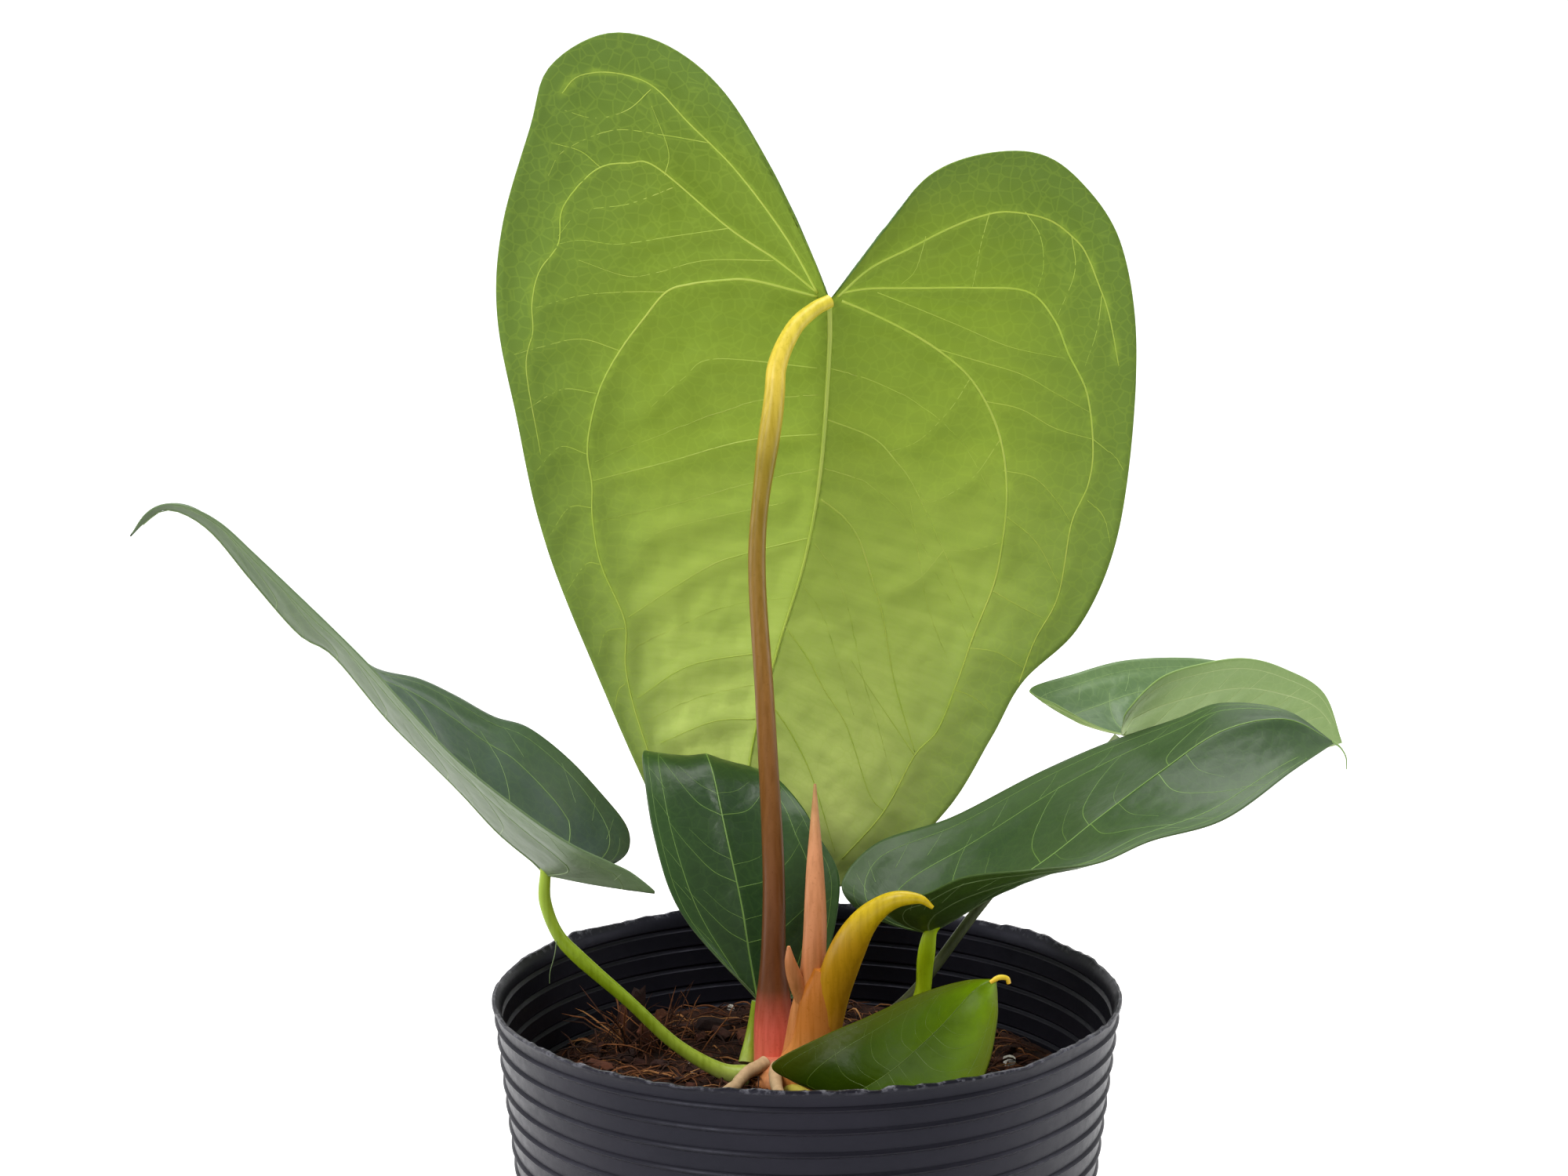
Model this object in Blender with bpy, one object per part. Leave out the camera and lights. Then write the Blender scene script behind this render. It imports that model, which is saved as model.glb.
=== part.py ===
"""Young anthurium growing in a thin black nursery pot, about 290 mm wide and 353 mm high.

Frame: origin at the middle of the pot's base, +Z up, the big leaf's underside towards -Y.
"""
import math
import random

import bmesh
import bpy
from mathutils import Matrix, Vector, noise

MM = 0.001
GAP = 0.3 * MM

# Pot: six inch, blown plastic with moulded rings under its rim and round drain holes
POT_HEIGHT = 125 * MM
POT_RIM_RADIUS = 76 * MM
POT_WALL_TAPER = 0.11
POT_WALL = 1.2 * MM
POT_LIP = 0.8 * MM
RING_PITCH = 5.3 * MM
RING_DEPTH = 0.7 * MM
RING_COUNT = 8
POT_SIDES = 48
DRAIN_HOLE_RADIUS = 4 * MM
DRAIN_CIRCLE_RADIUS = 44 * MM
DRAIN_HOLES = 8

# Potting mix: coarse fibre and bark, with a well that holds the foot of the crown
SOIL_DEPTH = 27 * MM
SOIL_MOUND = 2.5 * MM
SOIL_ROUGHNESS = 0.8 * MM
CROWN_CENTRE = Vector((-6 * MM, 0, 0))
CROWN_RADIUS = 8 * MM
CROWN_HEIGHT = 7 * MM
CROWN_FOOT = 14 * MM

# Leaves: sheet thickness in this model and the mesh of one half blade
BLADE_THICKNESS = 0.7 * MM
FAN_ROWS = 7
BODY_ROWS = 12
HALF_COLUMNS = 4
STEM_RINGS = 9


def clear_scene():
    for old in list(bpy.data.objects):
        bpy.data.objects.remove(old, do_unlink=True)


def material(name, colour, roughness, metallic=0.0):
    finish = bpy.data.materials.new(name)
    finish.use_nodes = True
    shader = finish.node_tree.nodes["Principled BSDF"]
    shader.inputs["Base Color"].default_value = (*colour, 1.0)
    shader.inputs["Roughness"].default_value = roughness
    shader.inputs["Metallic"].default_value = metallic
    return finish


def add_mesh(name, shape, finish, crease=math.radians(40)):
    """Turn a bmesh into a scene object with its own material, shaded smooth up to the crease angle."""
    mesh = bpy.data.meshes.new(name)
    shape.to_mesh(mesh)
    shape.free()
    mesh.materials.append(finish)
    mesh.shade_smooth()
    mesh.set_sharp_from_angle(angle=crease)
    thing = bpy.data.objects.new(name, mesh)
    bpy.context.collection.objects.link(thing)
    return thing


def in_mm(points):
    return [Vector(point) * MM for point in points]


def smooth_curve(knots, count):
    """Points at even distances along a smooth curve through the knots, its ends included."""
    padded = [2 * knots[0] - knots[1], *knots, 2 * knots[-1] - knots[-2]]
    fine = []
    steps = 24
    for start in range(len(knots) - 1):
        before, first, last, after = padded[start:start + 4]
        for step in range(steps):
            t = step / steps
            fine.append(0.5 * (2 * first + (last - before) * t
                               + (2 * before - 5 * first + 4 * last - after) * t ** 2
                               + (3 * first - before - 3 * last + after) * t ** 3))
    fine.append(knots[-1])
    return even_points(fine, count)


def even_points(line, count):
    """The same line cut into count - 1 equal lengths."""
    marks = [0.0]
    for here, there in zip(line, line[1:]):
        marks.append(marks[-1] + (there - here).length)
    points = []
    leg = 0
    for index in range(count):
        target = marks[-1] * index / (count - 1)
        while leg < len(line) - 2 and marks[leg + 1] < target:
            leg += 1
        span = max(marks[leg + 1] - marks[leg], 1e-9)
        points.append(line[leg].lerp(line[leg + 1], (target - marks[leg]) / span))
    return points


def stem(name, knots, radii, finish, rings=STEM_RINGS):
    """A round stalk along a smooth curve, its radius eased through the given radii in mm."""
    route = smooth_curve(in_mm(knots), rings)
    curve = bpy.data.curves.new(name, "CURVE")
    curve.dimensions = "3D"
    curve.bevel_depth = 1 * MM
    curve.bevel_resolution = 2
    curve.use_fill_caps = True
    spline = curve.splines.new("POLY")
    spline.points.add(rings - 1)
    for index, (place, point) in enumerate(zip(route, spline.points)):
        along = index / (rings - 1) * (len(radii) - 1)
        low = min(int(along), len(radii) - 2)
        point.co = (*place, 1.0)
        point.radius = radii[low] + (radii[low + 1] - radii[low]) * (along - low)
    spline.use_smooth = True
    curve.materials.append(finish)
    stalk = bpy.data.objects.new(name, curve)
    bpy.context.collection.objects.link(stalk)
    return stalk


def half_blade(shape, rib, edge, lobe_share, swell):
    """One side of a heart-shaped blade: a fan round the lobe, then rows from the rib to the edge.

    lobe_share is the part of the edge that the fan takes; swell lifts the middle of each row.
    """
    outline = even_points(edge, 201)
    rows = []
    for row in range(FAN_ROWS + BODY_ROWS + 1):
        if row <= FAN_ROWS:
            inner = rib[0]
            share = lobe_share * row / FAN_ROWS
        else:
            inner = rib[row - FAN_ROWS]
            share = lobe_share + (1 - lobe_share) * (row - FAN_ROWS) / BODY_ROWS
        outer = outline[round(share * 200)]
        points = []
        for column in range(HALF_COLUMNS + 1):
            t = column / HALF_COLUMNS
            lift = swell * 4 * t * (1 - t) * (outer - inner).length
            points.append(shape.verts.new(inner.lerp(outer, t) + lift))
        rows.append(points)
    for upper, lower in zip(rows, rows[1:]):
        for column in range(HALF_COLUMNS):
            shape.faces.new((upper[column], upper[column + 1], lower[column + 1], lower[column]))


def blade(name, midrib, left_edge, right_edge, lobe_shares, swell, finish):
    """A leaf blade: midrib from the stalk joint to the tip, each edge from the joint round its lobe."""
    ribs = in_mm(midrib)
    rib = smooth_curve(ribs, BODY_ROWS + 1)
    shape = bmesh.new()
    for edge, lobe_share in zip((left_edge, right_edge), lobe_shares):
        knots = [ribs[0], *in_mm(edge), ribs[-1]]
        half_blade(shape, rib, smooth_curve(knots, 401), lobe_share, Vector(swell))
    bmesh.ops.remove_doubles(shape, verts=shape.verts, dist=0.02 * MM)
    bmesh.ops.recalc_face_normals(shape, faces=shape.faces)
    leaf = add_mesh(name, shape, finish)
    skin = leaf.modifiers.new("thickness", "SOLIDIFY")
    skin.thickness = BLADE_THICKNESS
    skin.offset = 0.0
    return leaf


def turned(shape, profile):
    """Spin a profile of (radius, height) about Z and close it where it starts and ends on the axis."""
    rings = []
    for radius, height in profile:
        if radius == 0:
            rings.append([shape.verts.new((0, 0, height))])
            continue
        ring = []
        for side in range(POT_SIDES):
            angle = math.tau * side / POT_SIDES
            ring.append(shape.verts.new((radius * math.cos(angle), radius * math.sin(angle), height)))
        rings.append(ring)
    for lower, upper in zip(rings, rings[1:]):
        for side in range(POT_SIDES):
            after = (side + 1) % POT_SIDES
            corners = [lower[side % len(lower)], lower[after % len(lower)],
                       upper[after % len(upper)], upper[side % len(upper)]]
            shape.faces.new(dict.fromkeys(corners))


def wall_radius(height):
    return POT_RIM_RADIUS - POT_LIP - POT_WALL_TAPER * (POT_HEIGHT - height)


def make_pot():
    """Thin tapered pot with a thicker lip, moulded rings and drain holes."""
    outer = [(0, 0), (wall_radius(0), 0)]
    inner = [(0, POT_WALL), (wall_radius(0) - POT_WALL, POT_WALL)]
    for ring in range(RING_COUNT, 0, -1):
        crest = POT_HEIGHT - ring * RING_PITCH
        for offset, bulge in ((-0.5, 0), (0, 1)):
            height = crest + offset * RING_PITCH
            radius = wall_radius(height) + bulge * RING_DEPTH
            outer.append((radius, height))
            inner.append((radius - POT_WALL, height))
    lip_foot = POT_HEIGHT - RING_PITCH / 2
    outer += [(wall_radius(lip_foot), lip_foot), (POT_RIM_RADIUS, POT_HEIGHT - 1 * MM),
              (POT_RIM_RADIUS, POT_HEIGHT)]
    inner += [(wall_radius(lip_foot) - POT_WALL, lip_foot), (POT_RIM_RADIUS - POT_WALL, POT_HEIGHT)]
    shape = bmesh.new()
    turned(shape, outer + inner[::-1])
    bmesh.ops.recalc_face_normals(shape, faces=shape.faces)
    pot = add_mesh("pot", shape, material("black_plastic", (0.018, 0.018, 0.024), 0.38))
    holes = bmesh.new()
    for hole in range(DRAIN_HOLES):
        angle = math.tau * hole / DRAIN_HOLES
        place = Vector((math.cos(angle), math.sin(angle), 0)) * DRAIN_CIRCLE_RADIUS
        bmesh.ops.create_cone(holes, cap_ends=True, segments=12, radius1=DRAIN_HOLE_RADIUS,
                              radius2=DRAIN_HOLE_RADIUS, depth=10 * MM, matrix=Matrix.Translation(place))
    cutter = add_mesh("drain_hole_cutter", holes, material("cutter", (0.5, 0.5, 0.5), 0.5))
    cutter.hide_render = True
    cutter.display_type = "WIRE"
    cut = pot.modifiers.new("drain holes", "BOOLEAN")
    cut.object = cutter
    cut.solver = "EXACT"


def soil_top(place):
    """Height of the rough surface of the mix, a little higher at the crown."""
    from_crown = (Vector(place[:2]) - CROWN_CENTRE.to_2d()).length / POT_RIM_RADIUS
    bumps = noise.noise(Vector((place[0], place[1], 0)) / (7 * MM)) * SOIL_ROUGHNESS
    return POT_HEIGHT - SOIL_DEPTH + SOIL_MOUND * (1 - from_crown) + bumps


def make_potting_mix():
    """Root ball filling the pot, with a rough top and a round well under the crown."""
    surface = POT_HEIGHT - SOIL_DEPTH
    well = CROWN_RADIUS + GAP
    levels = []
    for height in (POT_WALL + GAP, surface * 0.55, surface - SOIL_ROUGHNESS):
        levels.append((wall_radius(height) - POT_WALL - 2 * GAP, height, Vector((0, 0, 0))))
    rim = levels[-1][0]
    for share in (0.97, 0.8, 0.6, 0.4, 0.25, 0.0):
        radius = well + (rim - well) * share
        levels.append((radius, None, CROWN_CENTRE * (1 - share)))
    levels.append((well, surface - CROWN_FOOT, CROWN_CENTRE))
    shape = bmesh.new()
    rings = []
    sides = 32
    for radius, height, centre in levels:
        ring = []
        for side in range(sides):
            angle = math.tau * side / sides
            place = centre + Vector((math.cos(angle), math.sin(angle), 0)) * radius
            place.z = soil_top(place) if height is None else height
            ring.append(shape.verts.new(place))
        rings.append(ring)
    for lower, upper in zip(rings, rings[1:]):
        for side in range(sides):
            after = (side + 1) % sides
            shape.faces.new((lower[side], lower[after], upper[after], upper[side]))
    shape.faces.new(rings[0][::-1])
    shape.faces.new(rings[-1])
    bmesh.ops.recalc_face_normals(shape, faces=shape.faces)
    add_mesh("potting_mix", shape, material("bark_and_fibre", (0.055, 0.024, 0.012), 0.95))


def make_crown():
    """Short woody stem that the stalks grow from, its foot in the well of the mix."""
    foot = POT_HEIGHT - SOIL_DEPTH - CROWN_FOOT + GAP
    height = CROWN_FOOT + CROWN_HEIGHT - GAP
    shape = bmesh.new()
    rings = []
    for share, width in ((0, 0.55), (0.25, 0.9), (0.6, 1), (0.8, 0.97), (0.93, 0.78), (1, 0.4)):
        ring = []
        for side in range(14):
            angle = math.tau * side / 14
            radius = CROWN_RADIUS * width * (1 - 0.06 * (side % 2))
            place = CROWN_CENTRE + Vector((math.cos(angle), math.sin(angle), 0)) * radius
            place.z = foot + height * share
            ring.append(shape.verts.new(place))
        rings.append(ring)
    for lower, upper in zip(rings, rings[1:]):
        for side in range(14):
            after = (side + 1) % 14
            shape.faces.new((lower[side], lower[after], upper[after], upper[side]))
    shape.faces.new(rings[0][::-1])
    shape.faces.new(rings[-1])
    bmesh.ops.recalc_face_normals(shape, faces=shape.faces)
    add_mesh("crown", shape, material("crown_tissue", (0.3, 0.14, 0.06), 0.6))


def make_big_leaf():
    """Newest full leaf: hangs from the top of the tall stalk, its pale underside to the front."""
    stem("big_leaf_stalk",
         [(-8, 3, 107), (-8, 5, 128), (-8, 8, 153), (-10, 14, 191), (-12, 22, 229), (-8, 29, 263),
          (-7, 32, 273), (-4, 35, 281), (0, 37.5, 285)],
         (4.0, 2.9, 2.7, 2.5, 2.3, 2.2, 2.1, 2.2, 1.4), material("red_brown_stalk", (0.22, 0.1, 0.03), 0.4),
         rings=17)
    blade("big_leaf_blade",
          [(6, 44, 288), (6, 47, 275), (4, 52, 245), (0, 56, 221), (-7, 59, 197), (-14, 61, 169), (-19, 62, 128)],
          [(0, 43, 300), (-8, 41, 320), (-20, 38, 339), (-34, 37, 350), (-49, 38, 353), (-63, 40, 345),
           (-68, 43, 331), (-76, 48, 306), (-78, 52, 284), (-74, 56, 258), (-68, 60, 227), (-57, 62, 196),
           (-44, 63, 164), (-33, 63, 142)],
          [(14, 43, 294), (22, 42, 308), (31, 42, 320), (44, 43, 324), (58, 45, 324), (69, 48, 317),
           (79, 51, 303), (84, 54, 280), (84, 57, 252), (80, 59, 223), (71, 60, 202), (57, 60, 188),
           (49, 60, 173), (37, 60, 153), (17, 61, 135)],
          (0.44, 0.38), (0, 0.03, 0), material("pale_leaf", (0.22, 0.31, 0.055), 0.5))


def make_left_leaf():
    """Leaf folded along its midrib, arching out over the pot's left side."""
    stem("left_leaf_stalk",
         [(-15.5, -2, 103.5), (-21, -2.5, 104), (-32, -3, 111), (-43, -4, 122), (-55, -4, 133), (-60, -4, 139),
          (-63, -4, 147), (-63.5, -4, 152)],
         (2.2, 1.7, 1.5, 1.5, 1.5, 1.4, 1.2), material("green_stalk", (0.16, 0.2, 0.02), 0.4), rings=12)
    blade("left_leaf_blade",
          [(-64, -4, 154), (-73, -5, 162), (-85, -6, 174), (-103, -8, 199), (-119, -9, 216), (-130, -9, 229),
           (-142, -9, 240), (-158, -10, 236)],
          [(-54, -14, 152), (-42, -26, 154), (-35, -32, 157), (-43, -34, 163), (-52, -36, 170),
           (-67, -37, 183), (-83, -34, 199), (-99, -28, 209), (-113, -22, 222), (-126, -18, 236),
           (-140, -14, 244), (-150, -12, 244)],
          [(-57, 6, 153), (-46, 20, 151), (-45, 27, 153), (-53, 32, 165), (-65, 33, 177), (-84, 30, 188),
           (-107, 20, 200), (-120, 10, 217), (-131, 2, 233), (-142, -4, 243), (-151, -8, 243)],
          (0.32, 0.32), (0, 0, -0.06), material("dark_leaf", (0.06, 0.1, 0.05), 0.4))


def make_centre_leaf():
    """Small dark leaf that stands behind the tall stalk and arches back over its tip."""
    stem("centre_leaf_stalk", [(-14.5, 6, 104), (-13.5, 9, 109), (-12, 9.7, 116.6)], (1.7, 1.4, 1.0),
         material("pale_green_stalk", (0.25, 0.3, 0.06), 0.45), rings=7)
    blade("centre_leaf_blade",
          [(-12, 10, 118), (-14, 12, 129), (-16, 15, 141), (-20, 21, 158), (-23, 28, 170), (-25, 35, 174),
           (-25, 42, 171), (-25, 47, 163)],
          [(-16, 9, 123), (-21, 9, 128), (-29, 11, 137), (-34, 13, 146), (-38, 18, 159), (-40, 24, 169),
           (-41, 32, 175), (-39, 40, 173), (-32, 46, 167)],
          [(-5, 10, 118), (-1, 11, 119), (5, 14, 127), (8, 17, 139), (8, 20, 148), (3, 25, 156),
           (-1, 30, 162), (-8, 37, 168), (-15, 44, 168)],
          (0.12, 0.16), (0, 0.05, 0), material("centre_dark_leaf", (0.03, 0.055, 0.022), 0.35))


def make_right_leaf():
    """Dark leaf reaching out to the right, its near half folded up beside the stalk."""
    stem("right_leaf_stalk",
         [(3.5, 1, 104), (12, 1, 107), (23, 2, 114), (28, 2, 121), (29, 2.5, 130), (30, 2.6, 135.5)],
         (2.4, 2.0, 2.0, 2.0, 1.9, 1.5), material("bright_stalk", (0.2, 0.27, 0.01), 0.35), rings=10)
    blade("right_leaf_blade",
          [(30, 3, 137), (40, 0, 144), (57, -2, 156), (70, -3, 167), (85, -1, 178), (100, 3, 187),
           (116, 7, 189), (128, 8, 183)],
          [(26, 7, 139), (18, 10, 139), (12, 12, 141), (9, 14, 147), (18, 24, 154), (37, 31, 159),
           (60, 34, 170), (80, 33, 179), (93, 28, 185), (103, 22, 190), (117, 13, 190)],
          [(26, 0, 139), (20, -4, 143), (17, -8, 147), (21, -12, 150), (28, -16, 152), (37, -23, 158),
           (52, -31, 162), (66, -33, 164), (79, -28, 168), (97, -20, 171), (116, -4, 179)],
          (0.25, 0.25), (0, 0, -0.05), material("right_dark_leaf", (0.055, 0.09, 0.045), 0.38))


def make_back_leaf():
    """Small leaf behind the right one, on a long thin stalk, with its near half raised."""
    stem("back_leaf_stalk",
         [(-3, 9.5, 103), (4, 12, 105), (24, 18, 114), (43, 28, 135), (62, 36, 157), (79, 41.5, 175.5)],
         (1.9, 1.5, 1.4, 1.3, 1.2, 1.0), material("grey_green_stalk", (0.09, 0.1, 0.05), 0.5), rings=11)
    blade("back_leaf_blade",
          [(81, 42, 178), (91, 45, 175), (107, 52, 173), (122, 58, 171), (135, 62, 170), (142, 64, 171)],
          [(74, 44, 180), (64, 47, 185), (58, 50, 188), (70, 60, 190), (86, 70, 192), (108, 82, 190),
           (125, 80, 186), (139, 72, 179)],
          [(80, 34, 182), (81, 30, 187), (89, 30, 195), (101, 34, 198), (112, 40, 198), (123, 47, 194),
           (135, 56, 186)],
          (0.2, 0.2), (0, 0, -0.08), material("back_leaf", (0.2, 0.29, 0.09), 0.45))


def make_front_leaf():
    """Smallest leaf, glossy and bright, low against the near wall of the pot."""
    stem("front_leaf_stalk", [(-4, -9.5, 102), (2, -18, 102.5), (8.5, -27.5, 105.5)], (1.7, 1.4, 1.0),
         material("young_stalk", (0.3, 0.3, 0.03), 0.4), rings=7)
    blade("front_leaf_blade",
          [(10, -30, 107), (20, -36, 116), (30, -40, 127), (38, -40, 136), (43, -38, 138)],
          [(4, -27, 107), (-4, -26, 110), (-8, -26, 114), (4, -24, 120), (13, -24, 124), (26, -27, 131),
           (36, -33, 136)],
          [(12, -42, 107), (17, -52, 109), (26, -58, 113), (34, -58, 120), (38, -52, 129), (41, -45, 134)],
          (0.25, 0.25), (0, 0.03, -0.05), material("young_leaf", (0.06, 0.11, 0.005), 0.25))


def make_new_shoot():
    """Rolled young leaf in its pink sheath, beside the yellow sheath of the leaf before it."""
    stem("new_leaf_spike",
         [(-2, -5, 107.5), (-1, -6, 118), (1, -8, 128), (2, -8, 140), (2, -6, 157), (2, -3, 175)],
         (3.6, 3.1, 3.0, 2.9, 2.6, 1.7, 0.5), material("pink_sheath", (0.5, 0.22, 0.1), 0.4), rings=12)
    stem("hooked_sheath",
         [(6, -8, 107), (7, -11, 118), (8, -14, 131), (11, -17, 143), (16, -19.5, 150), (21, -21, 153),
          (27, -22, 152)],
         (2.8, 2.5, 2.5, 2.3, 2.0, 1.6, 0.8), material("yellow_sheath", (0.42, 0.24, 0.01), 0.35), rings=13)
    stem("side_bud", [(-4.5, -10.5, 113), (-4.4, -11.3, 120), (-3.8, -12, 132)], (1.0, 1.2, 0.4),
         material("bud_tissue", (0.55, 0.25, 0.15), 0.4), rings=6)


def make_aerial_roots():
    """Thick pale roots that leave the crown and run over the mix."""
    finish = material("pale_root", (0.24, 0.17, 0.08), 0.6)
    for index, (angle, reach) in enumerate(((218, 16), (262, 14), (322, 13))):
        route = []
        for share in (0.0, 0.35, 0.7, 1.0):
            turn = math.radians(angle + 14 * share)
            distance = CROWN_RADIUS / MM + 2.2 + reach * share
            place = CROWN_CENTRE / MM + Vector((math.cos(turn), math.sin(turn), 0)) * distance
            drop = 2.4 * (1 - share) ** 2
            place.z = soil_top(place * MM) / MM + 2.2 + drop
            route.append(place)
        stem(f"aerial_root_{index + 1}", route, (1.5, 1.3, 1.0), finish, rings=6)


def loose_piece(name, place, size, turn, seed, finish):
    """One loose lump on the mix: a chipped block of the given size, resting just clear of it."""
    draw = random.Random(seed)
    shape = bmesh.new()
    bmesh.ops.create_icosphere(shape, subdivisions=1, radius=0.5)
    for vert in shape.verts:
        vert.co = Vector([axis * draw.uniform(0.85, 1.1) for axis in vert.co])
    bmesh.ops.scale(shape, vec=Vector(size) * MM, verts=shape.verts)
    bmesh.ops.rotate(shape, cent=(0, 0, 0), matrix=Matrix.Rotation(math.radians(turn), 3, "Z"), verts=shape.verts)
    lowest = min(vert.co.z for vert in shape.verts)
    spot = Vector((*place, 0)) * MM
    rest = max(soil_top(spot + vert.co) for vert in shape.verts)
    bmesh.ops.translate(shape, vec=(spot.x, spot.y, rest + GAP + SOIL_ROUGHNESS / 2 - lowest), verts=shape.verts)
    add_mesh(name, shape, finish)


def make_loose_pieces():
    """Bark chips and perlite grains lying on top of the mix."""
    bark = material("bark", (0.05, 0.022, 0.014), 0.9)
    chips = (((-43, 27), (4, 3, 15), 20), ((-37, 32), (6, 4, 5), 70), ((-52, 12), (9, 4, 3), 130),
             ((-24, 40), (8, 5, 4), 15), ((-30, -30), (10, 5, 3), 60), ((22, 48), (8, 4, 3), 100))
    for index, (place, size, turn) in enumerate(chips):
        loose_piece(f"bark_chip_{index + 1}", place, size, turn, 10 + index, bark)
    perlite = material("perlite", (0.7, 0.68, 0.62), 0.85)
    grains = (((51, 17), 3.0), ((-28, 14), 2.6), ((46, 28), 2.4), ((-44, -12), 2.4), ((-8, 46), 2.6))
    for index, (place, width) in enumerate(grains):
        loose_piece(f"perlite_grain_{index + 1}", place, (width, width * 0.85, width * 0.8), 40 * index,
                    40 + index, perlite)


clear_scene()
make_pot()
make_potting_mix()
make_crown()
make_big_leaf()
make_left_leaf()
make_centre_leaf()
make_right_leaf()
make_back_leaf()
make_front_leaf()
make_new_shoot()
make_aerial_roots()
make_loose_pieces()
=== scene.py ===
"""Looks of the potted anthurium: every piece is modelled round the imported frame, in metres, +Z up."""
import math
import random

import bpy
import numpy as np
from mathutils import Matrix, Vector, noise
from mathutils.bvhtree import BVHTree
from mathutils.kdtree import KDTree


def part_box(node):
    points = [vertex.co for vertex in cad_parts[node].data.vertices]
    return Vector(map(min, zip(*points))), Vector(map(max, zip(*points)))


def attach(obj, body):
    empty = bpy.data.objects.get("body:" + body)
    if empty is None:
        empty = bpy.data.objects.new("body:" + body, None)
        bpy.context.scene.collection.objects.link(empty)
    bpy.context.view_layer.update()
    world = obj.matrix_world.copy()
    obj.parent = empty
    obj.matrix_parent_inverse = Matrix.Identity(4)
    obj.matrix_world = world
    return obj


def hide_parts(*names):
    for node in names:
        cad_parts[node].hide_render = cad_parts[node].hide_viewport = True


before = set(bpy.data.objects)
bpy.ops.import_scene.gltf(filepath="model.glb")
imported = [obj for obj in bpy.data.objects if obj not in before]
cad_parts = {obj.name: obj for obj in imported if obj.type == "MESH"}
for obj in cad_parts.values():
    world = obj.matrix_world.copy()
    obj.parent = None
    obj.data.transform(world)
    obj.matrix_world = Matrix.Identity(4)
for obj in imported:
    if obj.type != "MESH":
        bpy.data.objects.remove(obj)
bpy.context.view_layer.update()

# --- Camera, light and floor ------------------------------------------------------------------
# A camera above the rim looks down into the pot, in a soft light tent: there are lights overhead,
# in front, on both sides and on the backdrop, and a pale floor that sweeps up behind.
MM = 0.001
POT_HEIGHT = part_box("pot")[1][2]
VIEW_SIDE = -5.4 * MM
VIEW_DISTANCE = 620 * MM
VIEW_RISE = 195 * MM
VIEW_TILT = 90 - 8.95
LENS_LENGTH = 60.75
SENSOR_WIDTH = 36
AMBIENT_LIGHT = 0.38
FLOOR_WIDTH = 8
BACKDROP_HEIGHT = 4
SWEEP_RADIUS = 1.5


def pick(*things):
    """Select only these objects and make the last one active."""
    bpy.ops.object.select_all(action="DESELECT")
    for thing in things:
        thing.select_set(True)
        bpy.context.view_layer.objects.active = thing


def softbox(name, place, aim, width, height, power, colour=(1.0, 1.0, 1.0)):
    """A rectangular studio light that faces the point it is aimed at."""
    bpy.ops.object.light_add(type="AREA", location=place)
    lamp = bpy.context.object
    lamp.name = name
    lamp.data.shape = "RECTANGLE"
    lamp.data.size = width
    lamp.data.size_y = height
    lamp.data.energy = power
    lamp.data.color = colour
    lamp.rotation_euler = (Vector(aim) - Vector(place)).to_track_quat("-Z", "Y").to_euler()


pick()
bpy.context.scene.view_settings.view_transform = "Standard"
bpy.ops.object.camera_add(location=(VIEW_SIDE, -VIEW_DISTANCE, POT_HEIGHT + VIEW_RISE),
                          rotation=(math.radians(VIEW_TILT), 0, 0))
camera = bpy.context.object
camera.data.lens = LENS_LENGTH
camera.data.sensor_width = SENSOR_WIDTH
camera.data.clip_start = 10 * MM
bpy.context.scene.camera = camera
softbox("overhead_light", (0, 0.15, 1.5), (0, 0, 0.15), 1.3, 1.1, 27, (1.0, 0.99, 0.98))
softbox("front_light", (-0.9, -1.1, 1.15), (0, 0, 0.22), 0.7, 0.6, 17, (1.0, 1.0, 0.97))
softbox("left_light", (-1.3, 0.1, 0.45), (0, 0, 0.12), 0.7, 1.2, 8, (0.95, 0.96, 1.0))
softbox("right_light", (1.3, 0.1, 0.45), (0, 0, 0.12), 0.7, 1.2, 8, (0.95, 0.96, 1.0))
softbox("backdrop_light", (0, 1.6, 2.2), (0, 3.4, 0.3), 3.0, 1.0, 70)
world = bpy.data.worlds.new("studio")
bpy.context.scene.world = world
world.use_nodes = True
world.node_tree.nodes["Background"].inputs["Color"].default_value = (1.0, 1.0, 1.0, 1.0)
world.node_tree.nodes["Background"].inputs["Strength"].default_value = AMBIENT_LIGHT

bpy.ops.mesh.primitive_plane_add(size=FLOOR_WIDTH)
floor = bpy.context.object
floor.name = "floor"
bpy.ops.object.mode_set(mode="EDIT")
bpy.ops.mesh.select_mode(type="EDGE")
bpy.ops.mesh.select_all(action="DESELECT")
bpy.ops.object.mode_set(mode="OBJECT")
for edge in floor.data.edges:
    edge.select = all(floor.data.vertices[corner].co.y > 0 for corner in edge.vertices)
bpy.ops.object.mode_set(mode="EDIT")
bpy.ops.mesh.extrude_region_move(TRANSFORM_OT_translate={"value": (0, 0, BACKDROP_HEIGHT)})
bpy.ops.object.mode_set(mode="OBJECT")
sweep = floor.modifiers.new("sweep", "BEVEL")
sweep.width = SWEEP_RADIUS
sweep.segments = 16
sweep.limit_method = "ANGLE"
bpy.ops.object.shade_smooth()
floor_finish = bpy.data.materials.new("pale_floor")
floor_finish.use_nodes = True
floor_shader = floor_finish.node_tree.nodes["Principled BSDF"]
floor_shader.inputs["Base Color"].default_value = (0.93, 0.93, 0.93, 1)
floor_shader.inputs["Roughness"].default_value = 0.9
floor.data.materials.append(floor_finish)

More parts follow.
